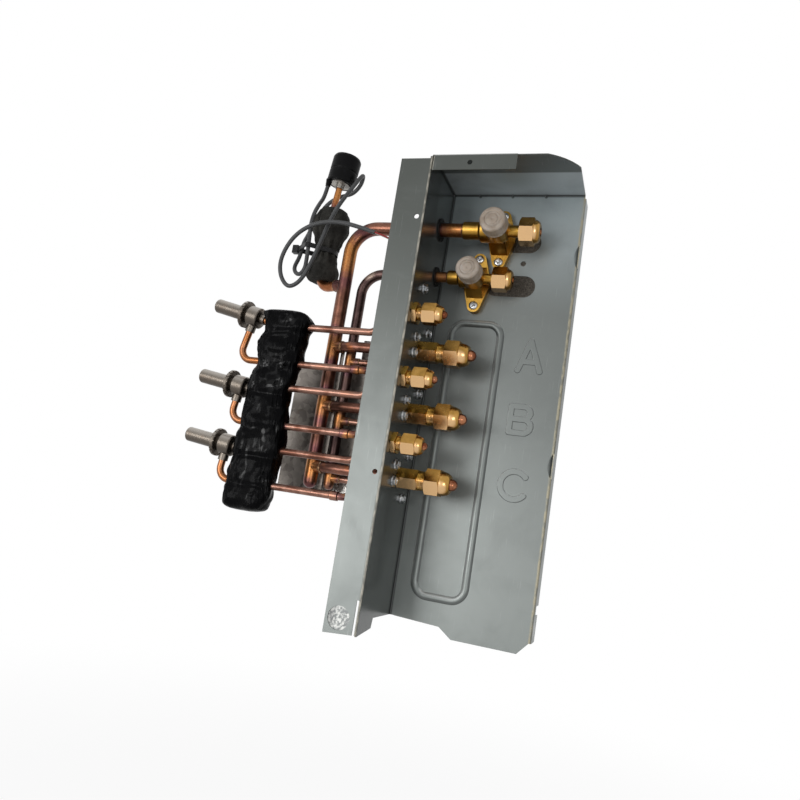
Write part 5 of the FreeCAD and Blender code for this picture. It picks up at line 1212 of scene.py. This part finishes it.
class DISTRIBUTOR_OT_mastic(bpy.types.Operator):
    """Makes the strip of black mastic pressed over the valve tubes"""
    bl_idname = "distributor.mastic"
    bl_label = "Mastic strip"

    def execute(self, context):
        lumps = context.scene.distributor_sizes.mastic_lumps / MM
        make_piece("mastic_strip", [self.strip(lumps)],
                   self.finish(tuple(context.scene.distributor_colours.mastic)), ("mastic_block",))
        return {"FINISHED"}

    def strip(self, lumps):
        """Rounded-box sections up the strip: x and y follow a superellipse of the angle between the left
        and right edges, which closes over the last millimetres at either end. Sums of sine waves lump
        and pleat it, and bell curves of the height lift it over the tubes and pinch it between them."""
        rows, around = 300, 132
        share = np.linspace(0, 1, rows)
        height = MASTIC_LOW + (MASTIC_HIGH - MASTIC_LOW) * share
        left_z, left_x = np.array(MASTIC_LEFT, float).T
        right_z, right_x = np.array(MASTIC_RIGHT, float).T
        smooth = np.hanning(17) / np.hanning(17).sum()
        left = np.convolve(np.pad(np.interp(height, left_z, left_x), 8, mode="edge"), smooth, "valid")
        right = np.convolve(np.pad(np.interp(height, right_z, right_x), 8, mode="edge"), smooth, "valid")
        end = np.minimum(share, 1 - share) * (MASTIC_HIGH - MASTIC_LOW)
        closing = np.sqrt(np.clip(1 - np.clip(1 - end / MASTIC_END_REACH, 0, 1) ** 2.2, 0.004, 1))
        z, turn = np.meshgrid(height, np.arange(around) * TURN / around, indexing="ij")
        cosine, sine = np.cos(turn), np.sin(turn)
        box_x = np.sign(cosine) * np.abs(cosine) ** 0.52
        box_y = np.sign(sine) * np.abs(sine) ** 0.6
        half = ((right - left) / 2 - 0.4)[:, None] * (0.35 + 0.65 * closing[:, None])
        middle = ((right + left) / 2)[:, None]
        depth = MASTIC_HALF_DEPTH * (0.25 + 0.75 * closing[:, None])
        ridge = np.zeros(rows)
        for centre, width, lift in MASTIC_RIDGES:
            ridge += lift * np.exp(-((height - centre) / width) ** 2)
        front = np.clip(-box_y, 0, 1)
        points = place(np.stack([middle + half * box_x, MASTIC_MIDDLE_Y + (depth - 1.0) * box_y, z], axis=-1))
        broad = unevenness(points, 30.0, 5)
        medium = unevenness(points, 11.0, 6)
        stretched = unevenness(points * np.array((2.2, 1.0, 0.55)), 4.0, 7)
        pleats = np.maximum(0, unevenness(points * np.array((3.2, 1.0, 0.35)), 5.0, 8) - 0.5)
        swell = lumps * (0.55 * broad + 0.5 * medium + 0.16 * stretched) + 0.6 * pleats * front
        swell = (swell + 0.6 * ridge[:, None] * (0.35 + 0.65 * front)) * closing[:, None]
        swell = np.clip(swell, MASTIC_LOWEST, MASTIC_HIGHEST)
        points[..., 0] += swell * box_x * MM
        points[..., 1] += swell * box_y * MM
        return points

    def finish(self, colour):
        """Black mastic: a sheen in oily patches, dull dusty ones, and creases and pits in its skin."""
        finish = Finish("butyl_mastic", IOR=1.1, Coat_Roughness=0.12, Coat_IOR=1.4)
        dust = finish.noise(12.0, 5.0, 0.65).step(0.5, 0.75)
        wet = finish.noise(14.0, 3.0, 0.5, (1.5, 1.0, 0.8), 0.6).step(0.54, 0.66)
        crease = finish.noise(7.0, 4.0, 0.6, (2.6, 1.0, 0.6), 1.2)
        pit = finish.noise(1.4, 4.0, 0.7)
        fold = (crease - 0.5).size().step(0.06, 0.0)
        grey = tuple(c + 0.004 for c in colour)
        finish.relief(crease * 0.8 + pit * 0.03 - fold * 0.15, 0.55)
        return finish.paint(Base_Color=finish.mix(dust * 0.6, colour, grey), Roughness=0.26 + 0.3 * dust,
                            Coat_Weight=0.04 + 0.34 * wet)


# Pressure switch

SWITCH_TOP = np.array((-116.0, -12.0, 399.0))
SWITCH_UP = np.array((3.0, 0.0, 27.0)) / math.hypot(3.0, 27.0)

# Foam wrap: heights in the datum with radii, the foot of its axis, and its tied waist above that foot
FOAM_PROFILE = ((296.0, 10.0), (296.2, 13.0), (301.0, 15.2), (306.0, 15.5), (316.0, 12.2), (326.0, 9.5),
                (337.0, 13.6), (349.0, 18.3), (358.0, 17.8), (366.0, 16.0), (370.0, 12.6), (369.0, 6.0),
                (364.0, 4.4))
FOAM_FOOT = (-117.5, -12.0, 296.0)
FOAM_MEAN_RADIUS = 15.0
WAIST_RISE = 30.0
WAIST_REACH = 13.0
SEAM_TURN = 4.6

# Boot: distances up the switch's axis with radii, and the lead's sleeve at its side
BOOT_PROFILE = ((2.6, 9.9), (0.6, 10.6), (0.5, 13.7), (1.3, 14.35), (3.0, 14.3), (3.8, 14.1), (12.6, 14.1),
                (13.3, 13.5), (14.2, 14.15), (26.8, 14.15), (29.2, 12.8), (30.0, 9.5), (29.7, 6.5),
                (29.9, 4.0), (29.6, 0.3))
SLEEVE_ANGLE = math.radians(30.0)
SLEEVE_OFFSET = 11.65
SLEEVE_LOW, SLEEVE_HIGH = -5.2, 2.0
SLEEVE_RADIUS = 2.35
SLEEVE_WIDENING = 0.9
SLEEVE_RIB = 0.18
SLEEVE_RIB_PITCH = 1.5


class DISTRIBUTOR_OT_switch(bpy.types.Operator):
    """Makes the foam wrap and the rubber boot of the pressure switch, and finishes its can and tie"""
    bl_idname = "distributor.switch"
    bl_label = "Pressure switch"

    def execute(self, context):
        pleats = context.scene.distributor_sizes.foam_pleats / MM
        self.foam(pleats, tuple(context.scene.distributor_colours.foam))
        self.boot()
        dress(["switch_can"],
              zinc_finish("switch_can_steel", tone(178, 174, 168), tone(140, 136, 130), 3.0, 0.3))
        dress(["cable_tie"], self.tie_finish())
        return {"FINISHED"}

    def foam(self, pleats, colour):
        """Foam wrap: its profile turned about the riser. Cosines of the turn gather it in folds at the tied
        waist and twist it beyond, a lap falls away from the seam where its end overlaps, and sums of
        sine waves dent it."""
        profile = softened([(z - FOAM_FOOT[2], r) for z, r in FOAM_PROFILE], 0.7, 3)
        waist = np.exp(-((profile[:, 0] - WAIST_RISE) / WAIST_REACH) ** 2)[:, None]

        def folds(reach, turn):
            gather = waist * pleats * (np.cos(9 * turn + 0.8 * np.sin(2 * turn) + 0.02 * reach) - 0.3)
            twist = 0.35 * np.cos(5 * turn + 0.11 * reach)
            seam = (turn - SEAM_TURN + 0.012 * reach) % TURN
            lap = 0.9 * np.exp(-seam / 0.9)
            return 1 + (gather + twist * (1 - waist) + lap) / FOAM_MEAN_RADIUS

        grid = turned(profile, FOAM_FOOT, (0, 0, 1), 150, folds)
        out = grid - place(FOAM_FOOT)
        out[..., 2] = 0
        out /= np.maximum(np.linalg.norm(out, axis=-1, keepdims=True), 1e-9)
        dents = 0.45 * unevenness(grid, 12.0, 21) + 0.22 * unevenness(grid, 5.0, 22)
        grid += out * dents[..., None] * MM
        finish = Finish("cell_foam", IOR=1.2)
        cells = finish.cells(0.9, output="Distance")
        cloud = finish.noise(13.0, 4.0, 0.6)
        crease = finish.noise(8.0, 4.0, 0.6, (1.0, 1.0, 0.45), 1.0)
        body = finish.mix(cloud.step(0.35, 0.7), shaded(colour, 0.55), shaded(colour, 1.35))
        finish.relief(cells * 0.25 + crease * 0.75, 0.8)
        material = finish.paint(Base_Color=body, Roughness=0.72 + 0.2 * cloud)
        make_piece("foam_sleeve", [grid], material, ("foam_wrap",))

    def boot(self):
        """Rubber boot: a drum with a rolled foot, a faint groove and a domed top, turned about the switch's
        axis, and the sleeve that guides the lead out, whose radius grows evenly and ribs with a cosine."""
        base = SWITCH_TOP - SWITCH_UP
        drum = turned(softened(BOOT_PROFILE, 0.4, 1), base, SWITCH_UP, 96)
        across = np.array((-SWITCH_UP[2], 0.0, SWITCH_UP[0]))
        forward = np.array((0.0, -1.0, 0.0))
        seat = base + SLEEVE_OFFSET * (across * math.cos(SLEEVE_ANGLE) + forward * math.sin(SLEEVE_ANGLE))
        reach = np.linspace(SLEEVE_LOW, SLEEVE_HIGH, 60)
        grown = (reach - SLEEVE_LOW) / (SLEEVE_HIGH - SLEEVE_LOW) * SLEEVE_WIDENING
        taper = SLEEVE_RADIUS + grown + SLEEVE_RIB * np.cos(TURN * reach / SLEEVE_RIB_PITCH)
        sleeve = turned(np.stack([reach, taper], axis=1), seat, SWITCH_UP, 40)
        finish = Finish("boot_rubber", IOR=1.16)
        bloom = finish.noise(9.0, 5.0, 0.65).step(0.45, 0.8)
        fine = finish.noise(0.8, 3.0)
        finish.relief(fine, 0.05)
        body = finish.mix(bloom * 0.6, tone(11, 11, 12), tone(30, 30, 31))
        make_piece("boot_shell", [drum, sleeve], finish.paint(Base_Color=body, Roughness=0.34 + 0.3 * bloom),
                   ("switch_boot",))

    def tie_finish(self):
        """Black nylon with the tie's fine cross ridges."""
        finish = Finish("tie_nylon", IOR=1.3)
        ridges = finish.node("ShaderNodeTexWave", {"wave_type": "BANDS", "bands_direction": "DIAGONAL"},
                             {"Vector": finish.at, "Scale": 0.35}, 1)
        cloud = finish.noise(5.0, 3.0)
        finish.relief(ridges, 0.1)
        return finish.paint(Base_Color=finish.mix(cloud, tone(13, 13, 14), tone(26, 26, 27)),
                            Roughness=0.32 + 0.15 * cloud)


# Screws

PAN_RADIUS = 4.0
PAN_HEIGHT = 2.4
WASHER_RADIUS = 4.6
WASHER_THICKNESS = 0.9
HEXAGON_HALF = 3.5
HEXAGON_CORNER = 4.2
HEXAGON_TOP = 3.4
HEXAGON_FOOT_ROW = 4
HEAD_AROUND = 72

# Cross recess: half an arm's width, its flank, its reach from the middle and the flank there, its depth
# in the arms and beyond that in the middle, and the height under which a head is left whole
ARM_HALF, ARM_FLANK = 0.42, 0.28
ARM_REACH, ARM_END = 2.25, 0.35
ARM_DEPTH, MIDDLE_DEPTH, MIDDLE_REACH = 0.65, 0.9, 2.2
WHOLE_BELOW = 1.5

# Seats in the datum
EAR_SEAT_Y, EAR_RISE = -6.5, 22.0
WALL_SCREWS = [(0.0, y, z + rise) for z in CIRCUIT_Z
               for y, rise in ((-46.0, 10.0), (-47.0, -4.0), (-16.0, 21.0))]
WALL_SCREWS += [(0.0, -45.7, 283.0), (0.0, -17.6, 100.3)]
VALVES = ((UPPER_VALVE_X, UPPER_VALVE_Z), (LOWER_VALVE_X, LOWER_VALVE_Z))
EAR_SCREWS = [(x, EAR_SEAT_Y, z + side * EAR_RISE) for x, z in VALVES for side in (-1, 1)]


def pan_profile():
    """Radii and heights of a pan head from its underside to its middle, a rounded dome of the radius."""
    rim = PAN_RADIUS * np.array((0.55, 0.97, 1.0, 1.0))
    radii = np.concatenate([rim, np.linspace(PAN_RADIUS * 0.985, 0.03, 30)])
    crown = PAN_HEIGHT * (0.42 + 0.58 * np.sqrt(np.clip(1 - (radii / PAN_RADIUS) ** 2.6, 0, 1)))
    crown[:3] = (0.0, 0.0, 0.12)
    return radii, crown


def washer_profile():
    """Radii and heights of a hexagon head on its washer face, from its underside to its middle."""
    outside = [(2.4, 0.0), (WASHER_RADIUS, 0.0), (WASHER_RADIUS, 0.45),
               (WASHER_RADIUS - 0.45, WASHER_THICKNESS), (HEXAGON_CORNER, WASHER_THICKNESS),
               (HEXAGON_CORNER, 2.75), (3.85, 3.05), (3.35, 3.3)]
    radii = np.concatenate([[r for r, _ in outside], np.linspace(3.1, 0.03, 26)])
    return radii, np.concatenate([[h for _, h in outside], np.full(26, HEXAGON_TOP)])


def screw_grid(profile, seat, along, turn_by, six_sided=False):
    """Screw head: a profile turned about the screw's axis, its top sunk where either arm of the cross
    recess is near and deepest in the middle. A hexagon cuts the radius to its half width over the cosine
    of the turn from the nearest flat."""
    radii, heights = profile
    radius, turn = np.meshgrid(radii, np.arange(HEAD_AROUND) * TURN / HEAD_AROUND, indexing="ij")
    height = np.repeat(heights[:, None], HEAD_AROUND, axis=1)
    if six_sided:
        flat = HEXAGON_HALF / np.cos((turn + turn_by) % (TURN / 6) - TURN / 12)
        radius[HEXAGON_FOOT_ROW:] = np.minimum(radius, flat)[HEXAGON_FOOT_ROW:]
    u, v = radius * np.cos(turn + turn_by), radius * np.sin(turn + turn_by)
    arm = np.minimum(np.maximum(np.abs(u) - ARM_HALF, 0), np.maximum(np.abs(v) - ARM_HALF, 0))
    within = np.clip((ARM_REACH - radius) / ARM_END, 0, 1) * (height > WHOLE_BELOW)
    near = np.clip(1 - arm / ARM_FLANK, 0, 1) * within
    height = height - near * (ARM_DEPTH + MIDDLE_DEPTH * np.clip(1 - radius / MIDDLE_REACH, 0, 1))
    axis, first, second = side_axes(along)
    points = (np.asarray(seat, float) + height[..., None] * axis + (radius * np.cos(turn))[..., None] * first
              + (radius * np.sin(turn))[..., None] * second)
    return place(points)


class DISTRIBUTOR_OT_screws(bpy.types.Operator):
    """Makes the heads of the wall and ear screws, with their cross recesses"""
    bl_idname = "distributor.screws"
    bl_label = "Screws"

    def execute(self, context):
        finish = Finish("zinc_plate", Metallic=1.0)
        cloud = finish.noise(3.0, 3.0)
        fine = finish.noise(0.5, 2.0)
        body = finish.ramp(cloud, (0.3, tone(112, 114, 118)), (0.5, tone(176, 178, 180)),
                           (0.7, tone(216, 216, 214)))
        finish.relief(fine, 0.04)
        zinc = finish.paint(Base_Color=body, Roughness=0.2 + 0.22 * cloud)
        chance = np.random.default_rng(4)
        wall = [screw_grid(washer_profile(), seat, (1, 0, 0), angle, True)
                for seat, angle in zip(WALL_SCREWS, chance.uniform(0, TURN, len(WALL_SCREWS)))]
        ears = [screw_grid(pan_profile(), seat, (0, -1, 0), angle)
                for seat, angle in zip(EAR_SCREWS, chance.uniform(0, TURN, len(EAR_SCREWS)))]
        make_piece("wall_screw_heads", wall, zinc, ("wall_screws",))
        make_piece("ear_screw_heads", ears, zinc, ("valve_ear_screws",))
        return {"FINISHED"}


# Panel in the sidebar and registration

STEPS = (DISTRIBUTOR_OT_stage, DISTRIBUTOR_OT_lead, DISTRIBUTOR_OT_sheet_metal, DISTRIBUTOR_OT_copper,
         DISTRIBUTOR_OT_brass, DISTRIBUTOR_OT_expansion_valves, DISTRIBUTOR_OT_mastic, DISTRIBUTOR_OT_switch,
         DISTRIBUTOR_OT_screws)


class DISTRIBUTOR_PT_steps(bpy.types.Panel):
    """Lists the distributor's settings and steps"""
    bl_idname = "DISTRIBUTOR_PT_steps"
    bl_label = "Refrigerant distributor"
    bl_space_type = "VIEW_3D"
    bl_region_type = "UI"
    bl_category = "Distributor"

    def draw(self, context):
        for group in (context.scene.distributor_colours, context.scene.distributor_sizes,
                      context.scene.distributor_stage):
            column = self.layout.column()
            for name in group.__annotations__:
                column.prop(group, name)
        for step in STEPS:
            self.layout.operator(step.bl_idname)


CLASSES = (FinishColours, PieceSizes, StageSettings, *STEPS, DISTRIBUTOR_PT_steps)


def register():
    """Registers the classes and hangs their settings on the scene."""
    for cls in CLASSES:
        bpy.utils.register_class(cls)
    bpy.types.Scene.distributor_colours = bpy.props.PointerProperty(type=FinishColours)
    bpy.types.Scene.distributor_sizes = bpy.props.PointerProperty(type=PieceSizes)
    bpy.types.Scene.distributor_stage = bpy.props.PointerProperty(type=StageSettings)


def unregister():
    """Takes the settings and classes away again."""
    del bpy.types.Scene.distributor_stage
    del bpy.types.Scene.distributor_sizes
    del bpy.types.Scene.distributor_colours
    for cls in reversed(CLASSES):
        bpy.utils.unregister_class(cls)


def main():
    """Runs every step in order."""
    register()
    for step in STEPS:
        group, name = step.bl_idname.split(".")
        getattr(getattr(bpy.ops, group), name)()


if __name__ == "__main__":
    main()
